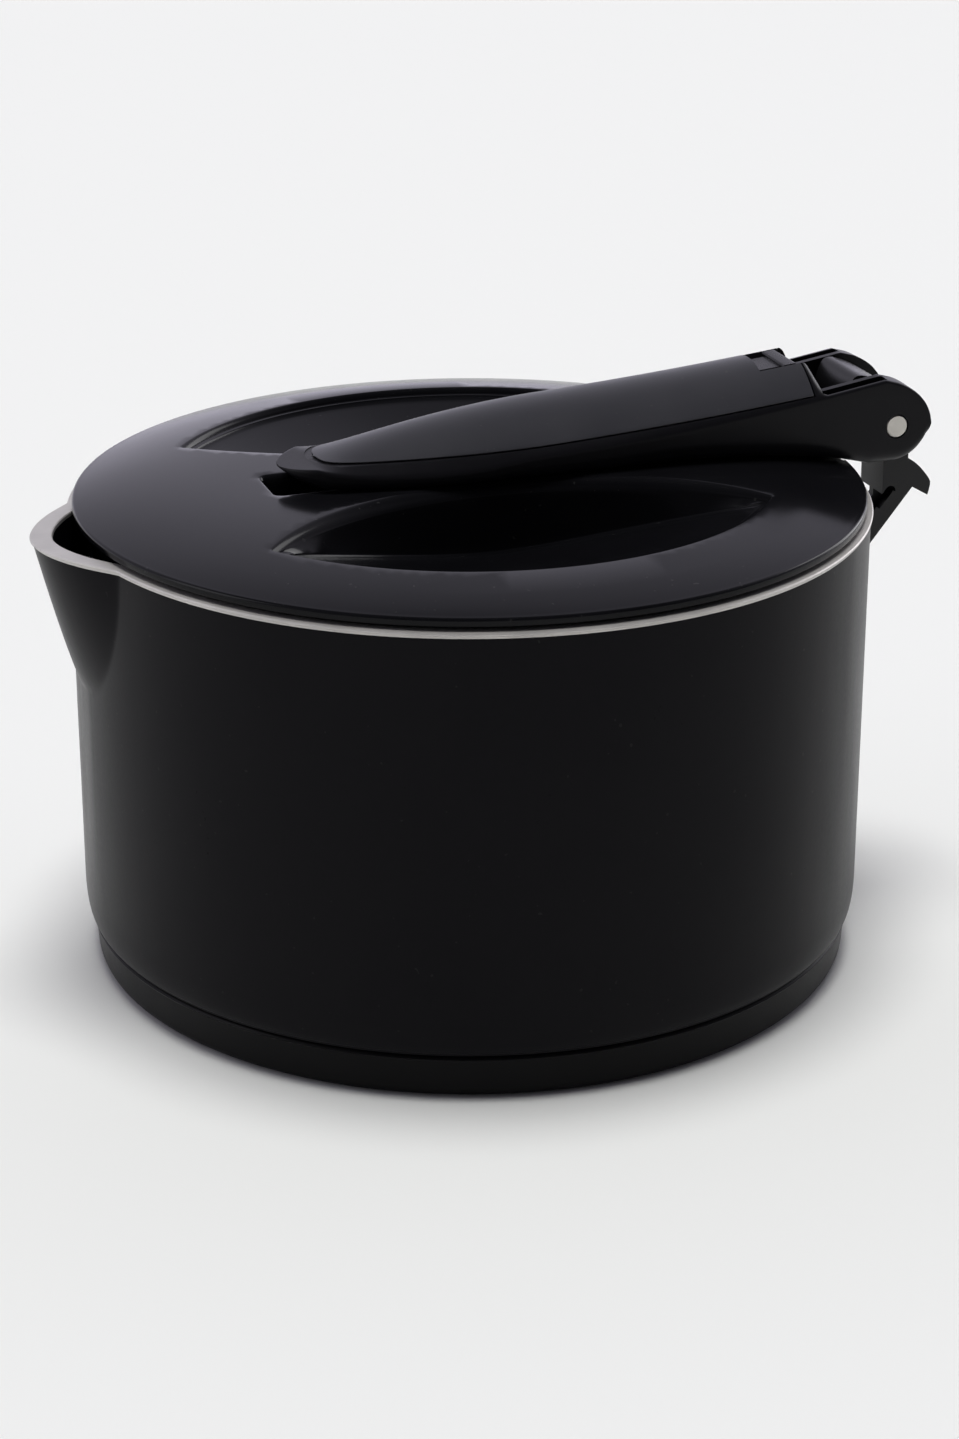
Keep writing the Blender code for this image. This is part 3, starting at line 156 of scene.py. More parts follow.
def rounded(corners, radius, steps):
    """A profile whose inner corners are rounded: each becomes a quadratic curve that starts a radius before it."""
    corners = np.asarray(corners, float)
    share = np.linspace(0, 1, steps)[:, None]
    pieces = [corners[:1]]
    for before, corner, after in zip(corners[:-2], corners[1:-1], corners[2:]):
        back, ahead = before - corner, after - corner
        near = corner + back * min(0.5, radius / np.linalg.norm(back))
        far = corner + ahead * min(0.5, radius / np.linalg.norm(ahead))
        pieces.append((1 - share) ** 2 * near + 2 * share * (1 - share) * corner + share**2 * far)
    return np.concatenate([*pieces, corners[-1:]])


def round_rectangle(middle, reach, radius, steps):
    """A closed outline: a rectangle with round corners, each centred this reach away from the middle."""
    turn = np.linspace(0, math.pi / 2, steps)
    corners = []
    for quarter, (right, up) in enumerate(((1, 1), (-1, 1), (-1, -1), (1, -1))):
        at = turn + quarter * math.pi / 2
        corners.append(np.stack([middle[0] + right * reach[0] + radius * np.cos(at),
                                 middle[1] + up * reach[1] + radius * np.sin(at)], axis=1))
    return np.concatenate(corners)


# %% [markdown]
# ## Finishes
#
# The kettle is almost all black, so its pieces differ by gloss rather than by colour. The pot has a thin satin
# enamel with a faint orange-peel surface, the lid is polished plastic with hairline scratches, the grip's top is
# a fine spark-eroded satin, and the rim is bare ground aluminium. Every pattern is worked out from Object
# coordinates at a real size, so it stays on the piece when the piece moves.

# %% A material and its patterns
class Finish:
    """A Principled material with short ways to add patterns in real sizes."""

    def __init__(self, name, metallic=0.0, **sockets):
        self.material = bpy.data.materials.new(name)
        self.material.use_nodes = True
        self.nodes = self.material.node_tree.nodes
        self.links = self.material.node_tree.links
        self.shader = self.nodes["Principled BSDF"]
        self.shader.inputs["Metallic"].default_value = metallic
        for socket, value in sockets.items():
            self.shader.inputs[socket.replace("_", " ")].default_value = value
        self.place = self.nodes.new("ShaderNodeTexCoord").outputs["Object"]

    def stretched(self, scale):
        """Object coordinates scaled by a factor for each axis."""
        mapping = self.nodes.new("ShaderNodeMapping")
        self.links.new(self.place, mapping.inputs["Vector"])
        mapping.inputs["Scale"].default_value = scale
        return mapping.outputs["Vector"]

    def noise(self, size, detail=3.0, rough=0.55, stretch=(1.0, 1.0, 1.0)):
        """Cloudy noise whose patches are about this many metres across."""
        node = self.nodes.new("ShaderNodeTexNoise")
        node.inputs["Scale"].default_value = 1 / size
        node.inputs["Detail"].default_value = detail
        node.inputs["Roughness"].default_value = rough
        self.links.new(self.stretched(stretch), node.inputs["Vector"])
        return node.outputs["Fac"]

    def ramp(self, source, low, high, start=0.0, end=1.0):
        """Maps a range of a pattern to new values, held at both ends."""
        node = self.nodes.new("ShaderNodeMapRange")
        for socket, value in (("From Min", low), ("From Max", high), ("To Min", start), ("To Max", end)):
            node.inputs[socket].default_value = value
        self.links.new(source, node.inputs["Value"])
        return node.outputs["Result"]

    def sum(self, operation, first, second):
        """Two patterns, or a pattern and a number, put together by a Math node."""
        node = self.nodes.new("ShaderNodeMath")
        node.operation = operation
        for socket, value in zip(node.inputs, (first, second)):
            if isinstance(value, (int, float)):
                socket.default_value = value
            else:
                self.links.new(value, socket)
        return node.outputs[0]

    def mixed(self, amount, first, second):
        """Two colours or colour patterns, mixed by a pattern."""
        node = self.nodes.new("ShaderNodeMix")
        node.data_type = "RGBA"
        self.links.new(amount, node.inputs["Factor"])
        for socket, value in (("A", first), ("B", second)):
            target = [s for s in node.inputs if s.name == socket and s.type == "RGBA"][0]
            if isinstance(value, tuple):
                target.default_value = (*value, 1.0)
            else:
                self.links.new(value, target)
        return [s for s in node.outputs if s.type == "RGBA"][0]

    def colour(self, source):
        self.links.new(source, self.shader.inputs["Base Color"])

    def gloss(self, source):
        self.links.new(source, self.shader.inputs["Roughness"])

    def bump(self, source, depth):
        """Raises the surface by a pattern, the full pattern standing for this depth in metres."""
        node = self.nodes.new("ShaderNodeBump")
        node.inputs["Strength"].default_value = 1.0
        node.inputs["Distance"].default_value = depth
        self.links.new(source, node.inputs["Height"])
        if self.shader.inputs["Normal"].is_linked:
            self.links.new(self.shader.inputs["Normal"].links[0].from_socket, node.inputs["Normal"])
        self.links.new(node.outputs["Normal"], self.shader.inputs["Normal"])


# %% [markdown]
# The pot's enamel is sprayed and baked. It is nearly black, a little warmer and cooler in wide patches, and it
# reflects less than glass does, so its specular level is low. A few dust specks are caught in it.

# %% Enamel of the pot
def enamel_finish():
    enamel = Finish("satin_enamel", **{"Specular_IOR_Level": 0.07})
    patches = enamel.noise(0.035, 2.0)
    grain = enamel.noise(0.0009, 2.0)
    specks = enamel.ramp(enamel.noise(0.0011, 0.0), 0.84, 0.87)
    tone = enamel.mixed(enamel.ramp(patches, 0.35, 0.65), (0.0036, 0.0033, 0.0046), (0.0046, 0.0043, 0.0055))
    enamel.colour(enamel.mixed(specks, tone, (0.014, 0.014, 0.014)))
    streaks = enamel.noise(0.012, 3.0, stretch=(1.0, 1.0, 0.25))
    enamel.gloss(enamel.sum("ADD", enamel.ramp(streaks, 0.3, 0.7, 0.27, 0.34), enamel.ramp(grain, 0.3, 0.7, 0.0, 0.03)))
    enamel.bump(grain, 0.000006)
    return enamel.material


enamel = enamel_finish()

# %% [markdown]
# The rim is ground flat after the enamel has been baked, so it is bare aluminium. A belt grinds it along one
# direction, which leaves fine straight lines. A fine haze on it scatters part of the light instead of mirroring
# it, so the rim is only half metallic. The same metal, blasted instead of ground, is inside the base.

# %% Ground aluminium
def ground_finish(name, colour, low_gloss, high_gloss, stretch, size=0.0004, metallic=1.0):
    ground = Finish(name, metallic=metallic)
    lines = ground.noise(size, 3.0, stretch=stretch)
    cloud = ground.noise(0.010, 2.0)
    darker = tuple(0.86 * value for value in colour)
    ground.colour(ground.mixed(ground.ramp(cloud, 0.3, 0.7), colour, darker))
    ground.gloss(ground.ramp(lines, 0.25, 0.75, low_gloss, high_gloss))
    ground.bump(lines, 0.000004)
    return ground.material


RIM_METAL, BARE_METAL = (0.62, 0.60, 0.57), (0.62, 0.60, 0.56)
RIM_METALLIC = 0.5
ground_rim = ground_finish("ground_rim", RIM_METAL, 0.42, 0.58, (0.04, 1.0, 1.0), metallic=RIM_METALLIC)
blasted = ground_finish("blasted_aluminium", BARE_METAL, 0.45, 0.60, (1.0, 1.0, 1.0), 0.0006)

# %% [markdown]
# Slots, forks and holes are cut with straight tools, which leave crisp edges, and a Boolean does the same. A narrow
# bevel then softens every edge, as a mould does.

# %% Cutting and softening
BEVEL_ANGLE, SHARP_ANGLE = math.radians(38.0), math.radians(50.0)


def cutter(name, surface):
    return shell(name, [surface])


def slab(low, high):
    """A box between two corners, as a surface."""
    (x0, y0, z0), (x1, y1, z1) = low, high
    ring = np.array([(x0, z0), (x1, z0), (x1, z1), (x0, z1)])
    return prism(ring, y0, y1)


def prism(outline, low, high):
    """An outline of (x, z) carried along Y from one place to another, its ends closed."""
    outline = np.asarray(outline, float)
    rings = np.stack([np.insert(outline, 1, place, axis=1) for place in (low, high)])
    points, faces = skin(rings)
    count = len(outline)
    return points, faces + [tuple(range(count)), tuple(range(count, 2 * count))]


def cut(piece, cutters, operation="DIFFERENCE"):
    """Applies one exact Boolean for each cutter, and removes the cutters."""
    for tool in cutters:
        modifier = piece.modifiers.new(tool.name, "BOOLEAN")
        modifier.operation = operation
        modifier.solver = "EXACT"
        modifier.object = tool
    made = bpy.data.meshes.new_from_object(piece.evaluated_get(bpy.context.evaluated_depsgraph_get()))
    old = piece.data
    piece.modifiers.clear()
    piece.data = made
    bpy.data.meshes.remove(old)
    for tool in cutters:
        bpy.data.objects.remove(tool, do_unlink=True)


def soften(piece, width, segments=2):
    """Merges stray doubles, bevels the edges that turn more than an angle, and smooths the rest."""
    work = bmesh.new()
    work.from_mesh(piece.data)
    bmesh.ops.remove_doubles(work, verts=work.verts, dist=2e-6)
    bmesh.ops.dissolve_degenerate(work, edges=work.edges, dist=1e-6)
    print(piece.name, sum(not edge.is_manifold for edge in work.edges), "open edges after the cuts")
    work.to_mesh(piece.data)
    work.free()
    bevel = piece.modifiers.new("soft_edges", "BEVEL")
    bevel.width = width
    bevel.segments = segments
    bevel.limit_method = "ANGLE"
    bevel.angle_limit = BEVEL_ANGLE
    bevel.use_clamp_overlap = True
    piece.data.shade_smooth()
    piece.data.set_sharp_from_angle(angle=SHARP_ANGLE)


# %% [markdown]
# ## The pot
#
# The pot is one casting: a straight wall, a rounded foot and a proud bead round the rim. Its lip is a V pressed
# out of the wall. So the whole pot is one profile of (radius, height) carried round the axis, with the radius
# pushed out near the lip. The push is greatest at the rim, dies away down the wall and falls off to both sides.

# %% Round the pot, with the lip
RIM_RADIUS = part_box("pot_body")[1].y
RIM_HEIGHT = 0.0942
BEAD_HEIGHT = 0.0006
BARE_HEIGHT = 0.0010
BEAD_PROUD = 0.0004
WALL = 0.0036
POT_UNDERSIDE = 0.0094
FLOOR_TOP = 0.0129
FLOOR_FILLET = 0.0060
FOOT_INSET = 0.0011
FOOT_CURVE = 0.0062
FOOT_EDGE = 0.0006
LIP_REACH = 0.0890
LIP_WIDTH = 0.0044
LIP_DEPTH = 0.0310
LIP_HALF_ANGLE = math.radians(16.0)
LIP_DENSE_SHARE = 1.15
LIP_V_SHARE = 1.7
LIP_CREASE_SHARE = 1.15
LIP_BULGE_SHARE = 0.85
WALL_RADIUS = RIM_RADIUS - BEAD_PROUD
INNER_RADIUS = WALL_RADIUS - WALL


def pot_angles():
    """Directions round the pot: close together across the lip, wider elsewhere."""
    reach = LIP_DENSE_SHARE * LIP_HALF_ANGLE
    lip = np.linspace(math.pi - reach, math.pi + reach, 97)
    return np.concatenate([lip, np.linspace(math.pi + reach, 3 * math.pi - reach, 290)[1:-1]])


def pushed_out(radius, tip, height, angle):
    """Radius in a direction: r + (tip - r) rise^a (1 - side^b)^c.

    rise grows from 0 at the foot of the lip to 1 at the rim, and side from 0 at the lip's middle to 1 at its edge.
    """
    rise = np.clip((height - RIM_HEIGHT + LIP_DEPTH) / LIP_DEPTH, 0, 1)
    half = np.maximum(LIP_HALF_ANGLE * np.sqrt(1 - (1 - rise) ** 2), 1e-9)
    side = np.clip(np.abs(angle - math.pi) / half, 0, 1)
    return radius + (tip - radius) * rise**LIP_BULGE_SHARE * (1 - side**LIP_V_SHARE) ** LIP_CREASE_SHARE


def pot_profile():
    """Rows of (radius, radius at the lip's tip, height), from the underside, up outside and down inside."""
    outer, inner = LIP_REACH - BEAD_PROUD, LIP_REACH - LIP_WIDTH
    turn = np.linspace(0, math.pi / 2, 10)
    foot = np.stack([FOOT_INSET * np.sin(turn) + WALL_RADIUS - FOOT_INSET,
                     POT_UNDERSIDE + FOOT_EDGE + FOOT_CURVE * (1 - np.cos(turn))], axis=1)
    rows = [(WALL_RADIUS - FOOT_INSET - FOOT_EDGE, 0, POT_UNDERSIDE),
            (WALL_RADIUS - FOOT_INSET - FOOT_EDGE / 4, 0, POT_UNDERSIDE + FOOT_EDGE / 4)]
    rows += [(radius, 0, height) for radius, height in foot]
    bead_low, bare_low = RIM_HEIGHT - BEAD_HEIGHT, RIM_HEIGHT - BARE_HEIGHT
    soft = BEAD_PROUD / 2
    rows += [(WALL_RADIUS, outer, z) for z in (*np.linspace(RIM_HEIGHT - LIP_DEPTH, bare_low, 33), bead_low)]
    rows += [(WALL_RADIUS + soft, outer + soft, bead_low), (RIM_RADIUS, LIP_REACH, bead_low + soft)]
    rows += [(RIM_RADIUS, LIP_REACH, RIM_HEIGHT - soft), (RIM_RADIUS - soft, LIP_REACH - soft, RIM_HEIGHT)]
    rows += [(INNER_RADIUS + soft, inner + soft, RIM_HEIGHT), (INNER_RADIUS, inner, RIM_HEIGHT - soft)]
    rows += [(INNER_RADIUS, inner, z) for z in np.linspace(RIM_HEIGHT - 4 * soft, RIM_HEIGHT - LIP_DEPTH, 34)]
    for turn in np.linspace(0, math.pi / 2, 9):
        radius = INNER_RADIUS - FLOOR_FILLET * (1 - math.cos(turn))
        rows.append((radius, 0, FLOOR_TOP + FLOOR_FILLET * (1 - math.sin(turn))))
    return np.array(rows)


profile = pot_profile()
angle = pot_angles()
radius = pushed_out(profile[:, :1], profile[:, 1:2], profile[:, 2:], angle[None, :])
rings = np.stack([radius * np.cos(angle), radius * np.sin(angle), profile[:, 2:] + 0 * angle], axis=2)
pot = shell("kettle_pot", [skin(rings, (0, 0, POT_UNDERSIDE), (0, 0, FLOOR_TOP))], "kettle", (enamel, ground_rim))
middles = np.empty(3 * len(pot.data.polygons))
pot.data.polygons.foreach_get("center", middles)
bare = (middles.reshape(-1, 3)[:, 2] > RIM_HEIGHT - BARE_HEIGHT).astype(np.int32)
pot.data.polygons.foreach_set("material_index", bare)
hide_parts("pot_body")
print("lip reaches", round(-rings[..., 0].min() / MM, 2), "mm; bare faces", int(bare.sum()))

# %% [markdown]
# ## The base
#
# Under the pot sits a pressed cap that holds an aluminium plate, which spreads the flame's heat. A dark gap and a
# small step show where the cap meets the pot. Both are plain turned shapes with softened edges.

# %% The cap and the plate inside it
BASE_HEIGHT = 0.0091
BASE_TOP_RADIUS = WALL_RADIUS - FOOT_INSET - 0.0001
BASE_FACE_RADIUS = BASE_TOP_RADIUS - 0.0005
BASE_FOOT_RADIUS = BASE_FACE_RADIUS - 0.0004
BASE_EDGE = 0.0025
BASE_CHAMFER = 0.0010
BASE_INSIDE = BASE_FOOT_RADIUS - BASE_EDGE / 2 - 0.0009
SHEET = 0.0009
turn = np.linspace(0, math.pi / 2, 10)
outside = np.stack([BASE_FOOT_RADIUS - BASE_EDGE * (1 - np.sin(turn)), BASE_EDGE * (1 - np.cos(turn))], axis=1)
top = rounded([outside[-1], (BASE_FACE_RADIUS, BASE_HEIGHT - BASE_CHAMFER),
               (BASE_TOP_RADIUS, BASE_HEIGHT - BASE_CHAMFER / 2), (BASE_TOP_RADIUS - BASE_CHAMFER / 2, BASE_HEIGHT),
               (BASE_INSIDE, BASE_HEIGHT), (BASE_INSIDE, SHEET)], BASE_CHAMFER / 6, 3)


def moulded_finish(name, dark, light, low_gloss, high_gloss, grain_size, grain_depth, level=0.35):
    """Moulded black plastic: a fine texture, slightly uneven gloss and a little dust in wide patches."""
    plastic = Finish(name, **{"Specular_IOR_Level": level})
    grain = plastic.noise(grain_size, 2.0, 0.7)
    cloud = plastic.noise(0.018, 3.0)
    plastic.colour(plastic.mixed(plastic.ramp(cloud, 0.3, 0.7), dark, light))
    plastic.gloss(plastic.sum("ADD", plastic.ramp(cloud, 0.3, 0.7, low_gloss, high_gloss),
                              plastic.ramp(grain, 0.3, 0.7, -0.02, 0.02)))
    plastic.bump(grain, grain_depth)
    return plastic.material


base_look = moulded_finish("base_enamel", (0.0036, 0.0035, 0.0040), (0.0050, 0.0048, 0.0052), 0.34, 0.42, 0.0007,
                           0.000008, 0.08)
base = shell("kettle_base", [skin(turned_rings(np.concatenate([outside, top[1:]])), (0, 0, 0), (0, 0, SHEET))],
             "kettle", (base_look,))
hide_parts("base_cap")


def dress(node, look):
    """Gives its finish to a piece that keeps its CAD shape."""
    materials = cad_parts[node].data.materials
    materials.clear()
    materials.append(look)


dress("heat_spreader", blasted)

# %% [markdown]
# ## The lid
#
# The lid is a shallow dome with a rounded edge, two lens-shaped finger wells and a small square pit under the
# handle's tip. The walls of each well follow its outline, so they are a profile carried round it, and its floor
# slopes down from the far arc to the bar. What is left between the outlines is one dome with three holes: its
# points lie on the dome's formula, and a triangulation that keeps the outlines joins them. Polished plastic shows
# every ripple, so the points are dense.

# %% The dome's height and the wells' outlines
LID_RADIUS = INNER_RADIUS + 0.0028
SKIRT_BOTTOM = RIM_HEIGHT + 0.0003
SKIRT_TOP = SKIRT_BOTTOM + 0.0022
SKIRT_LOW = SKIRT_BOTTOM + 0.0006
FOOT_RADIUS = LID_RADIUS - 0.0012
LID_EDGE_ROUND, SKIRT_EDGE_ROUND = 0.0006, 0.0002
DOME_RADIUS = LID_RADIUS - LID_EDGE_ROUND
DOME_RISE = 0.0042
DOME_SHARE = 4.5
PLUG_RADIUS = INNER_RADIUS - 0.0006
PLUG_BOTTOM = 0.0866
PLUG_STEP_RADIUS = 0.0712
LID_UNDERSIDE = 0.0831
WELL_OUTER = 0.0605
WELL_INNER = 0.0690
BAR_WIDTH = 0.0275
WELL_DEPTH = 0.0130
SCOOP_SHARE = 1.4
WELL_DRAFT = 0.0010
WELL_FILLET = 0.0012
WELL_LIP_DROP = 0.0012
LIP_ROUND_SHARE = 1.35
DOME_PATCH_RADIUS, DOME_STEP, DOME_CLEAR_SHARE = 0.0700, 0.0018, 0.55


def lid_top(radius):
    """Height of the dome: top + rise (1 - (r / R)^n), flat in the middle and falling ever faster."""
    return SKIRT_TOP + DOME_RISE * (1 - (np.abs(radius) / DOME_RADIUS) ** DOME_SHARE)


def lens(along, offset, side):
    """A point of a well's outline grown by an offset. along runs from 0 round the far arc to 1, and back to 2.

    The far arc is round the lid's axis and the near arc has its own centre beyond it. They meet where both
    circles cross: y = (c^2 + R^2 - r^2) / 2c, x = sqrt(R^2 - y^2).
    """
    outer, inner = WELL_OUTER + offset, WELL_INNER + offset
    centre = BAR_WIDTH / 2 + WELL_INNER
    tip_y = (centre**2 + outer**2 - inner**2) / (2 * centre)
    tip_x = np.sqrt(outer**2 - tip_y**2)
    far = along <= 1
    far_turn, near_turn = np.arctan2(tip_x, tip_y), np.arcsin(tip_x / inner)
    turn = np.where(far, (2 * along - 1) * far_turn, (3 - 2 * along) * near_turn)
    x = np.where(far, outer, inner) * np.sin(turn)
    y = np.where(far, outer * np.cos(turn), centre - inner * np.cos(turn))
    return x, side * y


LIP_HEIGHT = float(lid_top(WELL_OUTER)) - WELL_LIP_DROP
WELL_STEPS = 128
WELL_MIDDLE = 0.0350
SINK = 0.0003
along = np.arange(2 * WELL_STEPS) / WELL_STEPS
x, y = lens(along, 0.0, 1)
lip_width = lid_top(np.hypot(x, y)) - LIP_HEIGHT
lip_mm = (lip_width / MM).round(2)
print("wells:", round(2 * x.max() / MM, 1), "mm long, lip", lip_mm.min(), "to", lip_mm.max())


def scoop(x, y):
    """Height of a well's floor: lip - depth (1 - (r / R)^n), from the far arc down towards the bar."""
    return LIP_HEIGHT - SINK - WELL_DEPTH * (1 - np.clip(np.hypot(x, y) / WELL_OUTER, 0, 1) ** SCOOP_SHARE)


def well_rings(side):
    """Rings down a well: a rounded lip (a superellipse), a wall with draft, a fillet, and the floor's slope."""
    turn = np.linspace(0, math.pi / 2, 9)[:, None]
    lip_offset = lip_width * (1 - np.sin(turn) ** LIP_ROUND_SHARE)
    lip_drop = lip_width * (1 - np.cos(turn) ** LIP_ROUND_SHARE)
    depth = np.linspace(0, 1, 8)[1:, None]
    bend = np.linspace(0, math.pi / 2, 8)[1:, None]
    inset = WELL_FILLET * (1 - np.cos(bend))
    offset = np.concatenate([lip_offset, 0 * lip_width - WELL_DRAFT * depth, 0 * lip_width - WELL_DRAFT - inset])
    x, y = lens(along[None, :], offset, side)
    floor = scoop(x[16:], y[16:])
    low = np.minimum(scoop(x[15], y[15]) + WELL_FILLET / 2, LIP_HEIGHT - SINK / 2)
    wall = LIP_HEIGHT + (low - LIP_HEIGHT) * depth
    fillet = low + (floor - low) * np.sin(bend)
    lip = lid_top(np.hypot(x, y)[:9]) - lip_drop
    share = np.linspace(1, 0, 26)[1:-1, None]
    middle = side * WELL_MIDDLE
    flat_x, flat_y = share * x[-1:], middle + share * (y[-1:] - middle)
    rings = [np.stack([x, y, np.concatenate([lip, wall, fillet])], axis=2)]
    rings.append(np.stack([flat_x, flat_y, scoop(flat_x, flat_y)], axis=2))
    return np.concatenate(rings)


# %% The pit, the dome between the outlines, and the edge
PIT_LOW, PIT_HIGH = -0.0413, -0.0243
PIT_HALF = 0.0062
PIT_FLOOR = 0.0934
PIT_LIP = 0.0011
PIT_CORNER = 0.0012
PIT_DRAFT, PIT_FILLET, PIT_FLOOR_INSET = 0.0009, 0.0003, 0.00115


def pit_outline(offset):
    """The pit's outline grown by an offset: a rectangle with round corners."""
    reach = ((PIT_HIGH - PIT_LOW) / 2 - PIT_CORNER, PIT_HALF - PIT_CORNER)
    return round_rectangle(((PIT_LOW + PIT_HIGH) / 2, 0.0), reach, PIT_CORNER + offset, 6)


def pit_rings():
    """Rings down the pit: a rounded lip, a wall with draft and a floor with a small fillet."""
    turn = np.linspace(0, math.pi / 2, 7)
    rings = []
    for a in turn:
        flat = pit_outline(PIT_LIP * (1 - math.sin(a) ** LIP_ROUND_SHARE))
        drop = PIT_LIP * (1 - math.cos(a) ** LIP_ROUND_SHARE)
        rings.append(np.column_stack([flat, lid_top(np.hypot(*flat.T)) - drop]))
    for share in np.linspace(0, 1, 5)[1:]:
        flat = pit_outline(-PIT_DRAFT * share)
        height = rings[6][:, 2] * (1 - share) + (PIT_FLOOR + PIT_FILLET) * share
        rings.append(np.column_stack([flat, height]))
    flat = pit_outline(-PIT_FLOOR_INSET)
    rings.append(np.column_stack([flat, np.full(len(flat), PIT_FLOOR)]))
    return np.array(rings)


def inside(points, outline):
    """Which points lie inside a closed outline: those whose ray to the right crosses it an odd number of times."""
    a, b = outline, np.roll(outline, -1, axis=0)
    px, py = points[:, :1], points[:, 1:]
    crosses = (a[:, 1] > py) != (b[:, 1] > py)
    with np.errstate(divide="ignore", invalid="ignore"):
        at = a[:, 0] + (py - a[:, 1]) * (b[:, 0] - a[:, 0]) / (b[:, 1] - a[:, 1])
    return (crosses & (px < at)).sum(axis=1) % 2 == 1


def dome_patch(holes, rim):
    """Triangles that fill the dome between its rim and the holes' outlines, all on the dome's formula."""
    across = np.arange(-DOME_PATCH_RADIUS, DOME_PATCH_RADIUS, DOME_STEP)
    x, y = np.meshgrid(across, across * math.sqrt(3) / 2, indexing="ij")
    x = x + DOME_STEP / 2 * (np.arange(x.shape[1]) % 2)
    free = np.stack([x.ravel(), y.ravel()], axis=1)
    lines = np.concatenate([rim, *holes])
    nearest = np.min(np.hypot(free[:, :1] - lines[:, 0], free[:, 1:] - lines[:, 1]), axis=1)
    keep = (nearest > DOME_CLEAR_SHARE * DOME_STEP) & (np.hypot(*free.T) < DOME_PATCH_RADIUS - DOME_STEP / 3)
    for hole in holes:
        keep &= ~inside(free, hole)
    points = np.concatenate([lines, free[keep]])
    edges, start = [], 0
    for line in (rim, *holes):
        number = start + np.arange(len(line))
        edges += np.stack([number, np.roll(number, -1)], axis=1).tolist()
        start += len(line)
    found = delaunay_2d_cdt([Vector(point) for point in points], edges, [], 0, 1e-9)
    flat = np.array([tuple(point) for point in found[0]])
    faces = np.array(found[2])
    middle = flat[faces].mean(axis=1)
    good = np.hypot(*middle.T) < DOME_PATCH_RADIUS
    for hole in holes:
        good &= ~inside(middle, hole)
    return np.column_stack([flat, lid_top(np.hypot(*flat.T))]), faces[good].tolist()


def lid_edge_rings(sides):
    """The dome's outer part, its rounded edge, the skirt, the plug inside the rim and the flat underside."""
    radius = np.linspace(DOME_PATCH_RADIUS, DOME_RADIUS, 14)
    dome = np.stack([radius, lid_top(radius)], axis=1)
    turn = np.linspace(0, math.pi / 2, 6)[1:]
    edge = np.stack([DOME_RADIUS + LID_EDGE_ROUND * np.sin(turn),
                     SKIRT_TOP - LID_EDGE_ROUND * (1 - np.cos(turn))], axis=1)
    below = rounded([edge[-1], (LID_RADIUS, SKIRT_LOW), (FOOT_RADIUS, SKIRT_LOW), (FOOT_RADIUS, SKIRT_BOTTOM),
                     (PLUG_RADIUS, SKIRT_BOTTOM), (PLUG_RADIUS, PLUG_BOTTOM),
                     (PLUG_STEP_RADIUS, PLUG_BOTTOM), (PLUG_STEP_RADIUS, LID_UNDERSIDE)], SKIRT_EDGE_ROUND, 4)
    return turned_rings(np.concatenate([dome, edge, below[1:]]), sides=sides)


LID_SIDES = 288
outer = lid_edge_rings(LID_SIDES)
wells = [well_rings(side) for side in (-1, 1)]
pit = pit_rings()
patch = dome_patch([well[0, :, :2] for well in wells] + [pit[0, :, :2]], outer[0, :, :2])
parts = [patch, skin(outer, end=(0, 0, LID_UNDERSIDE)), skin(pit, end=((PIT_LOW + PIT_HIGH) / 2, 0, PIT_FLOOR))]
for side, well in zip((-1, 1), wells):
    middle = side * WELL_MIDDLE
    parts.append(skin(well, end=(0, middle, float(scoop(0, middle)))))

# %% [markdown]
# The lid's plastic is polished in the mould and wiped often, so it has a deep gloss, a slight haze in patches
# and a net of hairline scratches that only shows where a light catches it. A notch in its skirt, hidden under the
# handle's ears, lets it lift past the hinge.

# %% Polished plastic, and the lid itself
def polished_finish():
    polished = Finish("polished_black", **{"Specular_IOR_Level": 0.12})
    haze = polished.noise(0.022, 4.0)
    hair = polished.noise(0.0005, 2.0, stretch=(1.0, 0.05, 1.0))
    cross = polished.noise(0.0006, 2.0, stretch=(0.06, 1.0, 1.0))
    lines = polished.sum("MAXIMUM", polished.ramp(hair, 0.66, 0.72), polished.ramp(cross, 0.68, 0.74))
    dust = polished.ramp(polished.noise(0.0009, 0.0), 0.82, 0.85)
    tone = polished.mixed(polished.ramp(haze, 0.3, 0.7), (0.0040, 0.0040, 0.0048), (0.0052, 0.0052, 0.0062))
    polished.colour(polished.mixed(dust, tone, (0.02, 0.02, 0.02)))
    polished.gloss(polished.sum("ADD", polished.ramp(haze, 0.3, 0.7, 0.13, 0.19), polished.ramp(lines, 0, 1, 0, 0.05)))
    polished.bump(lines, -0.0000008)
    return polished.material


NOTCH_HALF, NOTCH_WALL = 0.0090, 0.0016
lid = shell("kettle_lid", parts, "lid", (polished_finish(),), merge=2e-6)
notch = slab((PLUG_RADIUS + NOTCH_WALL, -NOTCH_HALF, SKIRT_BOTTOM - MM), (LID_RADIUS + MM, NOTCH_HALF, SKIRT_TOP + MM))
cut(lid, [cutter("hinge_notch", notch)])
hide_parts("lid_shell")

# %% [markdown]
# Under the lid a plate closes the hollow, and a silicone ring between them grips the inside of the pot. They
# show only when the lid is lifted, but they are made and finished in the same way as the rest.

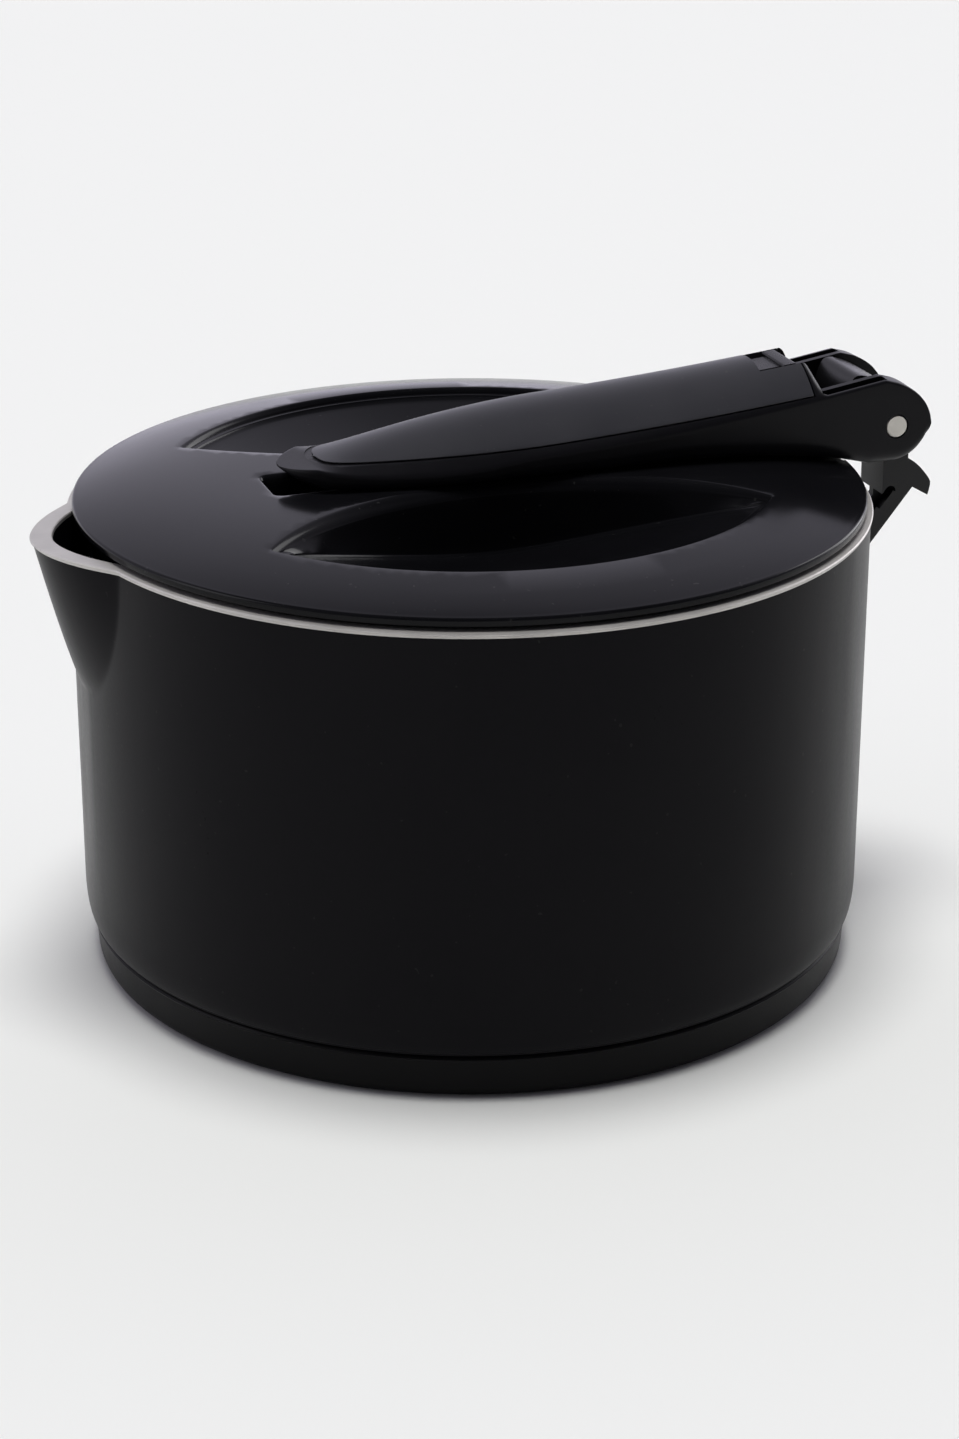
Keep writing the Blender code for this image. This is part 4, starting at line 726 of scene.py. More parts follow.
# %% The lid's plate and its silicone ring
PLATE_BOTTOM, PLATE_TOP = 0.0812, 0.0827
RING_INNER, RING_OUTER = INNER_RADIUS - 0.0027, INNER_RADIUS - 0.0003
RING_LOW, RING_HIGH = 0.0830, 0.0863
PLATE_MIDDLE, PLATE_EDGE_ROUND = 0.0010, 0.0003
COLLAR_INNER, COLLAR_OUTER = RING_INNER - 0.0019, RING_INNER - 0.0003
plate_profile = rounded([(PLATE_MIDDLE, PLATE_BOTTOM), (PLUG_RADIUS, PLATE_BOTTOM), (PLUG_RADIUS, PLATE_TOP),
                         (COLLAR_OUTER, PLATE_TOP), (COLLAR_OUTER, RING_HIGH), (COLLAR_INNER, RING_HIGH),
                         (COLLAR_INNER, PLATE_TOP), (PLATE_MIDDLE, PLATE_TOP)], PLATE_EDGE_ROUND, 4)
plate_look = moulded_finish("plate_plastic", (0.010, 0.010, 0.011), (0.013, 0.013, 0.014), 0.42, 0.50, 0.0005, 0.000010)
plate = shell("lid_inner_plate", [skin(turned_rings(plate_profile), (0, 0, PLATE_BOTTOM), (0, 0, PLATE_TOP))],
              "lid", (plate_look,))
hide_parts("lid_plate")


def silicone_finish():
    silicone = Finish("silicone", **{"Specular_IOR_Level": 0.4, "Subsurface_Weight": 0.05, "Subsurface_Scale": 0.001})
    bloom = silicone.noise(0.006, 4.0)
    silicone.colour(silicone.mixed(silicone.ramp(bloom, 0.3, 0.7), (0.045, 0.045, 0.048), (0.060, 0.060, 0.062)))
    silicone.gloss(silicone.ramp(bloom, 0.3, 0.7, 0.50, 0.62))
    silicone.bump(silicone.noise(0.0004, 2.0), 0.000010)
    return silicone.material


mid = (RING_LOW + RING_HIGH) / 2
rib = 0.0004
lip = [(RING_OUTER, RING_LOW), (RING_OUTER - rib, RING_LOW + rib), (RING_OUTER, mid - rib), (RING_OUTER, mid + rib),
       (RING_OUTER - rib, RING_HIGH - rib), (RING_OUTER, RING_HIGH)]
ring_profile = [(RING_INNER, RING_LOW), *lip, (RING_INNER, RING_HIGH)]
gasket = shell("lid_silicone_ring", [skin(turned_rings(ring_profile), wrap_rows=True)], "lid", (silicone_finish(),))
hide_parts("lid_gasket")

# %% [markdown]
# ## Screws
#
# Seven small screws hold the lid's plate, the grip's top and the bracket. Each head is a height over a disc: a
# flat dome with a cross sunk into it. The cross is where either of two bars covers the point, with steep sides.

# %% A cross-head screw
SHANK_RADIUS = 0.0013
HEAD_RADIUS = 0.0026
HEAD_HEIGHT = 0.0014
CROSS_REACH = 0.0015
CROSS_HALF_WIDTH = 0.00038
CROSS_DEPTH = 0.0008
PITCH = 0.0008
HEAD_DOME_SHARE, CROSS_STEEPNESS = 0.18, 6.0
THREAD_MEAN, THREAD_SWING = 0.90, 0.10


def screw_surface(length):
    """A screw that points up from its seat at height 0, its head below: (points, faces).

    Head: z = -(h - dome r^2) + cross(x, y). The cross is deep where |x| or |y| is under its half width.
    Shank: radius r + thread sin(2 pi z / pitch + angle), which winds up it as one groove.
    """
    angle = np.linspace(0, math.tau, 48, endpoint=False)
    share = np.linspace(0, 1, 26)[1:, None]
    x, y = HEAD_RADIUS * share * np.cos(angle), HEAD_RADIUS * share * np.sin(angle)
    dome = HEAD_DOME_SHARE * share**4 * HEAD_HEIGHT
    steep = CROSS_STEEPNESS / CROSS_HALF_WIDTH
    bars = [1 / (1 + np.exp(steep * (np.abs(a) - CROSS_HALF_WIDTH))) / (1 + np.exp(steep * (np.abs(b) - CROSS_REACH)))
            for a, b in ((x, y), (y, x))]
    cross = CROSS_DEPTH * np.maximum(*bars)
    head = np.stack([x, y, -HEAD_HEIGHT + dome + cross], axis=2)
    seat = np.stack([HEAD_RADIUS * np.cos(angle), HEAD_RADIUS * np.sin(angle), 0 * angle], axis=1)[None]
    z = np.linspace(0, length, max(8, int(length / PITCH * 8)))[:, None]
    thread = SHANK_RADIUS * (THREAD_MEAN + THREAD_SWING * np.sin(math.tau * z / PITCH + angle))
    shank = np.stack([thread * np.cos(angle), thread * np.sin(angle), z + 0 * angle], axis=2)
    return skin(np.concatenate([head, seat, shank]), (0, 0, -HEAD_HEIGHT + CROSS_DEPTH), (0, 0, length))


LATHE_FEED = 0.00025


def turned_steel(name, colour, low_gloss, high_gloss, axis):
    """Steel turned on a lathe: fine rings about a line. axis is (which two coordinates, their centre)."""
    steel = Finish(name, metallic=1.0)
    coordinates = steel.nodes.new("ShaderNodeSeparateXYZ")
    steel.links.new(steel.place, coordinates.inputs[0])
    squares = []
    for number, centre in axis:
        moved = steel.sum("SUBTRACT", coordinates.outputs[number], centre)
        squares.append(steel.sum("MULTIPLY", moved, moved))
    distance = steel.sum("SQRT", steel.sum("ADD", *squares), 0.0)
    rings = steel.sum("SINE", steel.sum("MULTIPLY", distance, math.tau / LATHE_FEED), 0.0)
    cloud = steel.noise(0.002, 3.0)
    steel.colour(steel.mixed(cloud, colour, tuple(0.85 * value for value in colour)))
    steel.gloss(steel.ramp(cloud, 0.3, 0.7, low_gloss, high_gloss))
    steel.bump(rings, 0.0000015)
    return steel.material


def plain_steel(name, colour, low_gloss, high_gloss, size=0.0015):
    """Steel as it comes from the press: cloudy gloss and a fine grain."""
    steel = Finish(name, metallic=1.0)
    cloud = steel.noise(size, 3.0)
    steel.colour(steel.mixed(cloud, colour, tuple(0.8 * value for value in colour)))
    steel.gloss(steel.ramp(cloud, 0.3, 0.7, low_gloss, high_gloss))
    steel.bump(steel.noise(0.0003, 2.0), 0.000004)
    return steel.material


screw_steel = plain_steel("screw_steel", (0.55, 0.54, 0.52), 0.25, 0.40)


def place_screw(name, node, body, lay):
    """Makes the screw for a CAD node in its place. lay turns the upright screw to its direction."""
    low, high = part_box(node)
    points, faces = lay(low, high)
    screw = shell(name, [(points, faces)], body, (screw_steel,), sharp=50)
    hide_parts(node)


def upright(low, high):
    """A screw driven upwards, its seat one head's height above its lowest point."""
    points, faces = screw_surface(high.z - low.z - HEAD_HEIGHT)
    return points + ((low.x + high.x) / 2, (low.y + high.y) / 2, low.z + HEAD_HEIGHT), faces


def sideways(low, high):
    """A screw driven towards +X."""
    points, faces = screw_surface(high.x - low.x - HEAD_HEIGHT)
    points = laid_along_x(points, (low.y + high.y) / 2, (low.z + high.z) / 2)
    return points + (low.x + HEAD_HEIGHT, 0, 0), faces


for number in (1, 2, 3):
    place_screw(f"lid_plate_screw_{number}", f"lid_screw_{number}", "lid", upright)
for number in (1, 2):
    place_screw(f"grip_screw_{number}", f"inlay_screw_{number}", "handle", upright)
    place_screw(f"bracket_fixing_{number}", f"bracket_screw_{number}", "kettle", sideways)

# %% [markdown]
# ## The hinge
#
# The handle's two ears turn on a steel pin. Its ends are ground flush and show as bright discs. It runs in a
# bronze sleeve in the bracket, with a thin washer on each side. All four are turned shapes laid along Y.

# %% Pin, sleeve and washers
PIN_X, PIN_Z = 0.0872, 0.1042
PIN_RADIUS = 0.0024
HANDLE_WIDTH = 0.0275
KNUCKLE_HALF = 0.00765
WASHER = 0.0005
PIN_CHAMFER = 0.00025
PIN_ROOM, SLEEVE_WALL = 0.0001, 0.0013
WASHER_RADIUS, WASHER_ROOM = 0.0060, 0.0003
BORE_REACH = 0.02


def pin_bore(name, radius):
    """A cutter for a hole round the pin's line."""
    rings = laid_along_y(turned_rings([(radius, -BORE_REACH), (radius, BORE_REACH)], sides=64), PIN_X, PIN_Z)
    return cutter(name, skin(rings, (PIN_X, -BORE_REACH, PIN_Z), (PIN_X, BORE_REACH, PIN_Z)))


def along_y_piece(name, node, body, profile, look, wrap=False, poles=(None, None)):
    """Turns a profile of (radius, place along Y) round the pin's line, for a CAD node."""
    rings = laid_along_y(turned_rings(profile, sides=96), PIN_X, PIN_Z)
    ends = [None if pole is None else (PIN_X, pole, PIN_Z) for pole in poles]
    piece = shell(name, [skin(rings, *ends, wrap_rows=wrap)], body, (look,))
    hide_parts(node)


half = HANDLE_WIDTH / 2
pin_look = turned_steel("turned_pin", (0.52, 0.50, 0.46), 0.30, 0.42, ((0, PIN_X), (2, PIN_Z)))
pin_profile = [(PIN_RADIUS - PIN_CHAMFER, -half), (PIN_RADIUS, -half + PIN_CHAMFER),
               (PIN_RADIUS, half - PIN_CHAMFER), (PIN_RADIUS - PIN_CHAMFER, half)]
along_y_piece("hinge_steel_pin", "hinge_pin", "handle", pin_profile, pin_look, poles=(-half, half))
hole, sleeve_radius = PIN_RADIUS + PIN_ROOM, PIN_RADIUS + SLEEVE_WALL
sleeve = [(hole, -KNUCKLE_HALF), (sleeve_radius, -KNUCKLE_HALF), (sleeve_radius, KNUCKLE_HALF), (hole, KNUCKLE_HALF)]
bronze = turned_steel("turned_bronze", (0.50, 0.34, 0.18), 0.30, 0.42, ((0, PIN_X), (2, PIN_Z)))
along_y_piece("hinge_bronze_sleeve", "hinge_bush", "kettle", sleeve, bronze, wrap=True)
for number, side in ((1, -1), (2, 1)):
    near, far = side * (KNUCKLE_HALF + WASHER_ROOM), side * (KNUCKLE_HALF + WASHER_ROOM + WASHER)
    washer = [(hole, near), (WASHER_RADIUS, near), (WASHER_RADIUS, far), (hole, far)]
    along_y_piece(f"hinge_thin_washer_{number}", f"hinge_washer_{number}", "handle", washer, pin_look,
                  wrap=True)

# %% [markdown]
# ## The handle
#
# The grip is a boat-shaped moulding in two halves. Seen from above it is a long taper with a blunt tip, and it
# ends in two ears. Seen from the side its underside follows the lid and its edge climbs towards the hinge. So its
# outside is a row of cross-sections: at each x a half width, a bottom, an edge and a crown, each with a formula.

# %% Widths and heights along the handle
TIP_X = PIN_X - 0.1268
INLAY_END_X = PIN_X - 0.0182
WEB_END_X = INLAY_END_X + 0.0028
INLAY_SETBACK = 0.0058
SWELL = 0.0008
BODY_TAPER, INLAY_TAPER, INLAY_MARGIN = (0.0400, 0.40), (0.0450, 0.50), 0.0004
REST_GAP = 0.0004
TIP_LENGTH, TIP_DROP, TIP_RISE = 0.0100, 0.0007, 0.0004
BOW_LENGTH = 0.0095
CROWN, CROWN_LENGTH = 0.0067, 0.0500
TUCK = 0.0034
EAR_RADIUS, EAR_BOTTOM = 0.0077, 0.0080
EAR_SHOULDER, EAR_PEAK_RISE, EAR_PEAK_SETBACK = 0.0014, 0.0098, 0.0027
EAR_CROWN, EAR_LAST_TURN = 0.0003, 89.3
EAR_BLUR, EAR_BLUR_ROOM = 0.0012, 0.0001
PARTING_TIP, PARTING_END, PARTING_LINE_SHARE = 0.0013, 0.0077, 0.19
FORK_HALF = HANDLE_WIDTH / 2 - 0.0050
EDGE_SOFT = 0.0006


def reached(x, start, length):
    """How far x lies along a stretch, from 0 at its start to 1 at its end, held beyond both."""
    return np.clip((x - start) / length, 0, 1)


def taper(x, start, length, share):
    """Width share: 1 - share (1 - t)^1.5."""
    return 1 - share * (1 - reached(x, start, length)) ** 1.5


def blunt(x, start, length):
    """Width share of a blunt round end: sqrt(1 - (1 - t)^2.1)."""
    return np.sqrt(1 - (1 - reached(x, start, length)) ** 2.1)


def parting_line(x):
    """Height of the line between the halves: rising as a share of t and a share of t squared."""
    start = TIP_X + INLAY_SETBACK
    t = reached(x, start, INLAY_END_X - start)
    climbed = PARTING_LINE_SHARE * t + (1 - PARTING_LINE_SHARE) * t**2
    return PIN_Z + PARTING_TIP + (PARTING_END - PARTING_TIP) * climbed


def body_half(x):
    full = HANDLE_WIDTH / 2 + SWELL * np.sin(math.pi * reached(x, TIP_X, INLAY_END_X - TIP_X))
    return full * taper(x, TIP_X, *BODY_TAPER)


def inlay_half(x):
    return (HANDLE_WIDTH / 2 - INLAY_MARGIN) * taper(x, TIP_X + INLAY_SETBACK, *INLAY_TAPER)


def underside(x):
    return np.maximum(lid_top(x) + REST_GAP, PIN_Z - EAR_BOTTOM)


def grip_stations(x):
    """Rows of (x, half width, bottom, edge, crown) along the grip."""
    start = TIP_X + INLAY_SETBACK
    rise = CROWN * (1 - (1 - reached(x, start, CROWN_LENGTH)) ** 2)
    covered = (inlay_half(x) / body_half(x)) ** 2
    drop = rise * (1 - covered) / covered
    edge = parting_line(x) - drop - TIP_DROP * np.clip((start - x) / INLAY_SETBACK, 0, 1)
    bottom = underside(x)
    bottom = bottom + (edge - TIP_RISE - bottom) * (1 - reached(x, TIP_X, BOW_LENGTH)) ** 2
    return np.stack([x, body_half(x) * blunt(x, TIP_X, TIP_LENGTH), bottom, edge, rise + drop], axis=1)


def ear_stations(x):
    """Rows from the web to the ears' peak: the crown dies away and the edge climbs."""
    _, half, _, start, crown = grip_stations(np.array([INLAY_END_X]))[0]
    along = (x - INLAY_END_X) / (PIN_X - EAR_PEAK_SETBACK - INLAY_END_X)
    fade = np.maximum(0, 1 - ((x - INLAY_END_X) / (WEB_END_X - INLAY_END_X)) ** 2)
    edge = start + (PIN_Z + EAR_PEAK_RISE - start) * along
    ones = np.ones_like(x)
    return np.stack([x, half * ones, underside(x), edge, EAR_CROWN + (crown - EAR_CROWN) * fade], axis=1)


def end_stations(turn):
    """Rows round the ears' end, by direction from the pin."""
    edge = PIN_Z + EAR_RADIUS * np.cos(turn) + EAR_SHOULDER * (1 - np.sin(turn)) ** 2
    bottom = PIN_Z - EAR_BOTTOM * np.cos(turn)
    ones = np.ones_like(turn)
    return np.stack([PIN_X + EAR_RADIUS * np.sin(turn), HANDLE_WIDTH / 2 * ones, bottom, edge,
                     EAR_CROWN * np.cos(turn)], axis=1)


def crossings(stations):
    """The cross-section at each station as a ring of points.

    From the middle of the bottom: out along it, round the tucked lower corner, up the side, round the soft edge,
    and over the crown z = edge + crown (1 - s^2); then the same mirrored.
    """
    x, half, bottom, edge, crown = (stations[:, column:column + 1] for column in range(5))
    depth = edge - bottom
    tuck = np.minimum(TUCK, np.minimum(half, depth) / 2)
    soft = np.minimum(EDGE_SOFT, np.minimum(half, depth) / 4)
    y = [(half - tuck) * np.linspace(0, 1, 5)[:-1]]
    z = [bottom + np.zeros(4)]
    turn = np.linspace(0, math.pi / 2, 8)
    y.append(half - tuck * (1 - np.sin(turn)))
    z.append(bottom + tuck * (1 - np.cos(turn)))
    up = np.linspace(0, 1, 6)[1:-1]
    y.append(half + 0 * up)
    z.append(bottom + tuck + (depth - tuck - soft) * up)
    first = 1 - soft / half
    t = np.linspace(0, 1, 6)
    over = edge + crown * (1 - first**2)
    y.append((1 - t) ** 2 * half + 2 * t * (1 - t) * half + t**2 * first * half)
    z.append((1 - t) ** 2 * (edge - soft) + 2 * t * (1 - t) * edge + t**2 * over)
    s = first * np.linspace(1, 0, 18)[1:]
    y.append(s * half)
    z.append(edge + crown * (1 - s**2))
    y, z = np.concatenate(y, axis=1), np.concatenate(z, axis=1)
    y = np.concatenate([y, -y[:, -2:0:-1]], axis=1)
    z = np.concatenate([z, z[:, -2:0:-1]], axis=1)
    return np.stack([x + 0 * y, y, z], axis=2)


def smoothed(values, x, width):
    """Values along x blurred with a bell curve of this width."""
    weight = np.exp(-(((x[:, None] - x[None, :]) / width) ** 2)) * np.gradient(x)[None, :]
    return (weight @ values) / weight.sum(axis=1)


def handle_envelope():
    """The whole outside of the handle, both halves together."""
    tip = TIP_X + TIP_LENGTH * np.linspace(0.06, 1, 26) ** 2
    grip = np.linspace(tip[-1], INLAY_END_X, 90)[1:]
    web = np.linspace(INLAY_END_X, WEB_END_X, 8)[1:]
    ears = np.linspace(WEB_END_X, PIN_X - EAR_PEAK_SETBACK, 16)[1:]
    turn = np.radians(np.linspace(0, 1, 34) ** 0.8 * EAR_LAST_TURN)
    rows = np.concatenate([grip_stations(np.concatenate([tip, grip])), ear_stations(np.concatenate([web, ears])),
                           end_stations(turn)])
    ear = rows[:, 0] > WEB_END_X
    ear_rows = rows[ear]
    blurred = smoothed(ear_rows[:, 3], ear_rows[:, 0], EAR_BLUR)
    ear_rows[:, 3] = np.minimum(ear_rows[:, 3], blurred + EAR_BLUR_ROOM)
    rows[ear] = ear_rows
    start = (TIP_X, 0, float(parting_line(TIP_X)) - TIP_DROP - TIP_RISE / 2)
    end = rows[-1]
    return skin(crossings(rows), start, (end[0], 0, (end[2] + end[3]) / 2))


print("grip half width at the middle", round(float(body_half(0.02)) / MM, 2), "mm")

# %% [markdown]
# The halves, the fork between the ears, the slots and the holes are cut out of that outside. The latch slides along
# a line that is tilted a little, so its own places are given along the slide, across it and up from the bolt.

# %% The space for the grip's top, and the latch's directions
LATCH_TILT = math.radians(5.5)
NOSE_X, NOSE_Z = 0.06872, 0.11462
BOLT_HALF, BOLT_THICK, BOLT_LENGTH, TRAVEL = 0.0056, 0.0011, 0.0196, 0.0040
THUMB_HALF, THUMB_LENGTH, THUMB_PLATE, THUMB_END = 0.0040, 0.0078, 0.0006, -0.0004
WINDOW_HALF, WINDOW_LENGTH = 0.0060, 0.0274
CHANNEL_BOTTOM, SPRING_END, SPRING_ROOM = -0.0080, -0.0315, 0.0019
INLAY_TIP_LENGTH, INLAY_NEXT, INLAY_ROOM = 0.0050, 0.0052, 0.022
SEAT = 0.0003


def inlay_rows(gap):
    """Places along the grip's top and its half width there, less a gap."""
    start = TIP_X + INLAY_SETBACK
    x = np.concatenate([start + gap + INLAY_TIP_LENGTH * np.linspace(0.08, 1, 16) ** 2,
                        np.linspace(start + INLAY_NEXT + gap, INLAY_END_X - gap, 70)])
    return x, inlay_half(x) * blunt(x, start, INLAY_TIP_LENGTH) - gap


def inlay_space():
    """The room for the grip's top: its outline from above, over the parting line."""
    x, half = inlay_rows(0.0)
    low, high = parting_line(x), np.full_like(x, PIN_Z + INLAY_ROOM)
    corners = ((-1, low), (1, low), (1, high), (-1, high))
    ring = np.stack([np.stack([x, side * half, z], axis=1) for side, z in corners], axis=1)
    points, faces = skin(ring)
    last = len(points) - 4
    return points, faces + [(0, 1, 2, 3), (last, last + 1, last + 2, last + 3)]


def in_latch(points):
    """Points of (along the slide, across, up from the bolt's underside) turned into places on the handle."""
    points = np.asarray(points, float)
    c, s = math.cos(LATCH_TILT), math.sin(LATCH_TILT)
    return np.stack([NOSE_X + points[..., 0] * c - points[..., 2] * s, points[..., 1],
                     NOSE_Z + points[..., 0] * s + points[..., 2] * c], axis=-1)


def latch_slab(start, end, half, low, high):
    """A box in the latch's own directions."""
    points, faces = slab((start, -half, low), (end, half, high))
    return in_latch(points), faces


# %% [markdown]
# The lower half is moulded in black plastic with a slight sheen. The ears have cored slots in their tops, which
# keep the plastic thin, and the web between grip and fork has a slot that the bracket's hook enters when open.

# %% The lower half of the handle
CUT_TOP = 0.1300
FORK_BOTTOM, FORK_BEYOND = 0.0850, 0.0200
HOOK_SLOT_X, HOOK_SLOT_Z, SLOT_OVERLAP = 0.0652, 0.1063, 0.0010
EAR_SLOT_HALF, EAR_SLOT_WALL, EAR_SLOT_LENGTH, EAR_SLOT_DEPTH = 0.0013, 0.0010, 0.0143, 0.0050
EAR_BORE_ROOM, SCREW_ROOM, SCREW_HOLE_DEPTH = 0.00012, 0.0001, 0.0050
grip_look = moulded_finish("grip_black", (0.0060, 0.0058, 0.0070), (0.0080, 0.0078, 0.0092), 0.30, 0.38, 0.0006,
                           0.000010, 0.12)
lower = shell("grip_lower_half", [handle_envelope()], "handle", (grip_look,))
fork = slab((WEB_END_X, -FORK_HALF, FORK_BOTTOM), (PIN_X + FORK_BEYOND, FORK_HALF, CUT_TOP))
hook_slot = slab((HOOK_SLOT_X, -WINDOW_HALF, HOOK_SLOT_Z), (WEB_END_X + SLOT_OVERLAP, WINDOW_HALF, CUT_TOP))
tools = [cutter("recess", inlay_space()), cutter("fork", fork), cutter("hook_slot", hook_slot)]
slot_start, slot_floor = WEB_END_X - SLOT_OVERLAP, PIN_Z + EAR_PEAK_RISE - EAR_SLOT_DEPTH
middle = (HANDLE_WIDTH - 2 * EAR_SLOT_HALF) / 2 - EAR_SLOT_WALL
for side in (-1, 1):
    low = (slot_start, side * middle - EAR_SLOT_HALF, slot_floor)
    high = (slot_start + EAR_SLOT_LENGTH, side * middle + EAR_SLOT_HALF, CUT_TOP)
    tools.append(cutter(f"ear_slot_{side}", slab(low, high)))
tools.append(pin_bore("bore", PIN_RADIUS + EAR_BORE_ROOM))
for number in (1, 2):
    low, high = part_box(f"inlay_screw_{number}")
    place = ((low.x + high.x) / 2, 0.0)
    seat, end = low.z + HEAD_HEIGHT + SEAT, high.z + SEAT
    mouth = seat - SCREW_HOLE_DEPTH
    wide, narrow = HEAD_RADIUS + SCREW_ROOM, SHANK_RADIUS + SCREW_ROOM
    steps = [(wide, mouth), (wide, seat), (narrow, seat), (narrow, end)]
    screw_hole = skin(turned_rings(steps, place, 48), (*place, mouth), (*place, end))
    tools.append(cutter(f"screw_hole_{number}", screw_hole))
cut(lower, tools)
soften(lower, width=0.00022)
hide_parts("handle_body")

# %% [markdown]
# The top half is a separate satin moulding. Its crown is the same surface as the outside above, inside its own
# outline and above the parting line, so a fine dark line runs all round it. A window at its end shows the latch.

# %% The satin top of the grip
INLAY_EDGE = 0.00012


def inlay_surface():
    """The crowned top over a flat underside, one ring for each x.

    Where the crown is z = e + c (1 - (y / h)^2), it comes down to the underside at y = h sqrt(1 - (low - e) / c).
    """
    x, half = inlay_rows(SEAT)
    _, body, _, edge, crown = grip_stations(x).T
    low = parting_line(x) + SEAT
    crown = np.maximum(crown, 1e-6)
    reach = body * np.sqrt(np.clip(1 - (low + INLAY_EDGE - edge) / crown, 1e-4, 1))
    half = np.minimum(half, reach)
    s = np.linspace(-1, 1, 41)
    y = half[:, None] * s
    top = edge[:, None] + crown[:, None] * (1 - (y / body[:, None]) ** 2)
    under = half[:, None] * np.linspace(1, -1, 9)
    ring_y = np.concatenate([y, under], axis=1)
    crowned = np.maximum(top, low[:, None] + INLAY_EDGE / 2)
    ring_z = np.concatenate([crowned, np.repeat(low[:, None], 9, axis=1)], axis=1)
    rings = np.stack([x[:, None] + 0 * ring_y, ring_y, ring_z], axis=2)
    middle = rings.mean(axis=1)
    return skin(rings, middle[0], middle[-1])


def satin_finish():
    satin = Finish("satin_top", **{"Specular_IOR_Level": 0.42, "Sheen_Weight": 0.02, "Sheen_Roughness": 0.4})
    grain = satin.noise(0.00035, 2.0, 0.7)
    cloud = satin.noise(0.014, 3.0)
    dust = satin.ramp(satin.noise(0.0008, 0.0), 0.80, 0.84)
    tone = satin.mixed(satin.ramp(cloud, 0.3, 0.7), (0.032, 0.032, 0.037), (0.039, 0.039, 0.044))
    satin.colour(satin.mixed(dust, tone, (0.05, 0.05, 0.05)))
    satin.gloss(satin.sum("ADD", satin.ramp(cloud, 0.3, 0.7, 0.40, 0.46), satin.ramp(grain, 0.3, 0.7, -0.02, 0.02)))
    satin.bump(grain, 0.000012)
    return satin.material


inlay = shell("grip_satin_top", [inlay_surface()], "handle", (satin_finish(),))
window = slab((PIN_X - WINDOW_LENGTH, -WINDOW_HALF, PIN_Z), (WEB_END_X, WINDOW_HALF, CUT_TOP))
channel = latch_slab(-BOLT_LENGTH - TRAVEL - SEAT, 0, BOLT_HALF + SEAT, CHANNEL_BOTTOM, BOLT_THICK + SEAT)
plate_channel = latch_slab(THUMB_END - THUMB_LENGTH - TRAVEL - SEAT, THUMB_END, THUMB_HALF + SEAT, 0.0,
                           BOLT_THICK + THUMB_PLATE + 2 * SEAT)
spring_room = latch_slab(SPRING_END, -BOLT_LENGTH, SPRING_ROOM, CHANNEL_BOTTOM, BOLT_THICK / 2 + SPRING_ROOM)
cut(inlay, [cutter("window", window), cutter("channel", channel), cutter("plate_channel", plate_channel),
            cutter("spring_room", spring_room)])
soften(inlay, width=0.00015)
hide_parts("handle_inlay")

# %% [markdown]
# ## The latch
#
# A thumb pulls the small ridged slider towards the grip's tip, which draws a steel bolt off the bracket's hook. The
# slider is an outline carried across the handle, with soft edges. The bolt and its spring keep their CAD shapes.

# %% The slider, the bolt and the spring
THUMB_LOW, RIDGE, RIDGE_LENGTH, RIDGE_ROUND = BOLT_THICK + SEAT, 0.0006, 0.0030, 0.0005
PEG_RADIUS = 0.0011
ridge, plate_top = THUMB_END - RIDGE_LENGTH, THUMB_LOW + THUMB_PLATE
ridge_top = plate_top + RIDGE
outline = rounded([(ridge + MM, THUMB_LOW), (THUMB_END, THUMB_LOW), (THUMB_END, ridge_top), (ridge, ridge_top),
                   (ridge, THUMB_LOW), (ridge + MM, THUMB_LOW)], RIDGE_ROUND, 6)[:-1]
points, faces = prism(outline, -BOLT_HALF, BOLT_HALF)
thumb_look = moulded_finish("slider_black", (0.005, 0.005, 0.0056), (0.007, 0.007, 0.0077), 0.26, 0.34, 0.0005,
                            0.000006, 0.16)
thumb = shell("latch_slider", [(in_latch(points), faces)], "latch", (thumb_look,))
tongue = latch_slab(THUMB_END - THUMB_LENGTH, THUMB_END - RIDGE_LENGTH / 2, THUMB_HALF, THUMB_LOW, plate_top)
place, peg_top = (THUMB_END - THUMB_LENGTH / 2, 0.0), THUMB_LOW + THUMB_PLATE / 2
peg = in_latch(turned_rings([(PEG_RADIUS, 0.0), (PEG_RADIUS, peg_top)], place, 32))
peg_ends = in_latch([(*place, 0.0), (*place, peg_top)])
cut(thumb, [cutter("tongue", tongue), cutter("peg", skin(peg, *peg_ends))], "UNION")
soften(thumb, width=0.00015)
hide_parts("latch_thumb")
dress("latch_bolt", plain_steel("blackened_bolt", (0.022, 0.022, 0.024), 0.30, 0.42))
dress("latch_spring", plain_steel("spring_wire", (0.50, 0.49, 0.47), 0.22, 0.32))

# %% [markdown]
# ## The bracket
#
# The bracket is one moulding: a pad on the wall, an arm that climbs from it with a flange along its top, a hook at
# the arm's end, and a neck up to the knuckle that the pin runs through. Each is an outline carried along Y, joined
# by Booleans. The hook's back and the knuckle are smooth curves through a few points, worked out as a spline.

# %% Outlines of the arm, the flange, the neck and the knuckle
HOOK_RADIUS = 0.0235
NOTCH = (0.0198 / HOOK_RADIUS, -60.2)
HOOK_BACK = ((1.0, -55.1), (0.964, -52.5), (0.903, -49.3), (0.760, -48.6), (0.668, -49.3), (0.587, -51.3))
KNUCKLE = ((1.12, -110.0), (1.10, -60.0), (1.0, -30.0), (0.90, 0.0), (0.76, 44.0), (0.86, 75.0), (1.29, 112.0),
           (1.50, 131.0), (1.16, 180.0))
ARM_SLOPE, ARM_TOP_SLOPE = math.radians(51.4), math.radians(39.7)
ARM_TOP_DROP, ARM_HALF, FLANGE_HALF, FLANGE_THICK = 0.0139, 0.0025, 0.0040, 0.0018
NECK_START, NECK_END, NECK_HALF = PIN_X + 0.0016, PIN_X + 0.0072, 0.0052
PAD_OVERLAP, NECK_OVERLAP, WALL_CUT_BEYOND, SLEEVE_BORE_ROOM = 0.0008, 0.0009, 0.0040, 0.0014
PAD_INNER = WALL_RADIUS + 0.0014
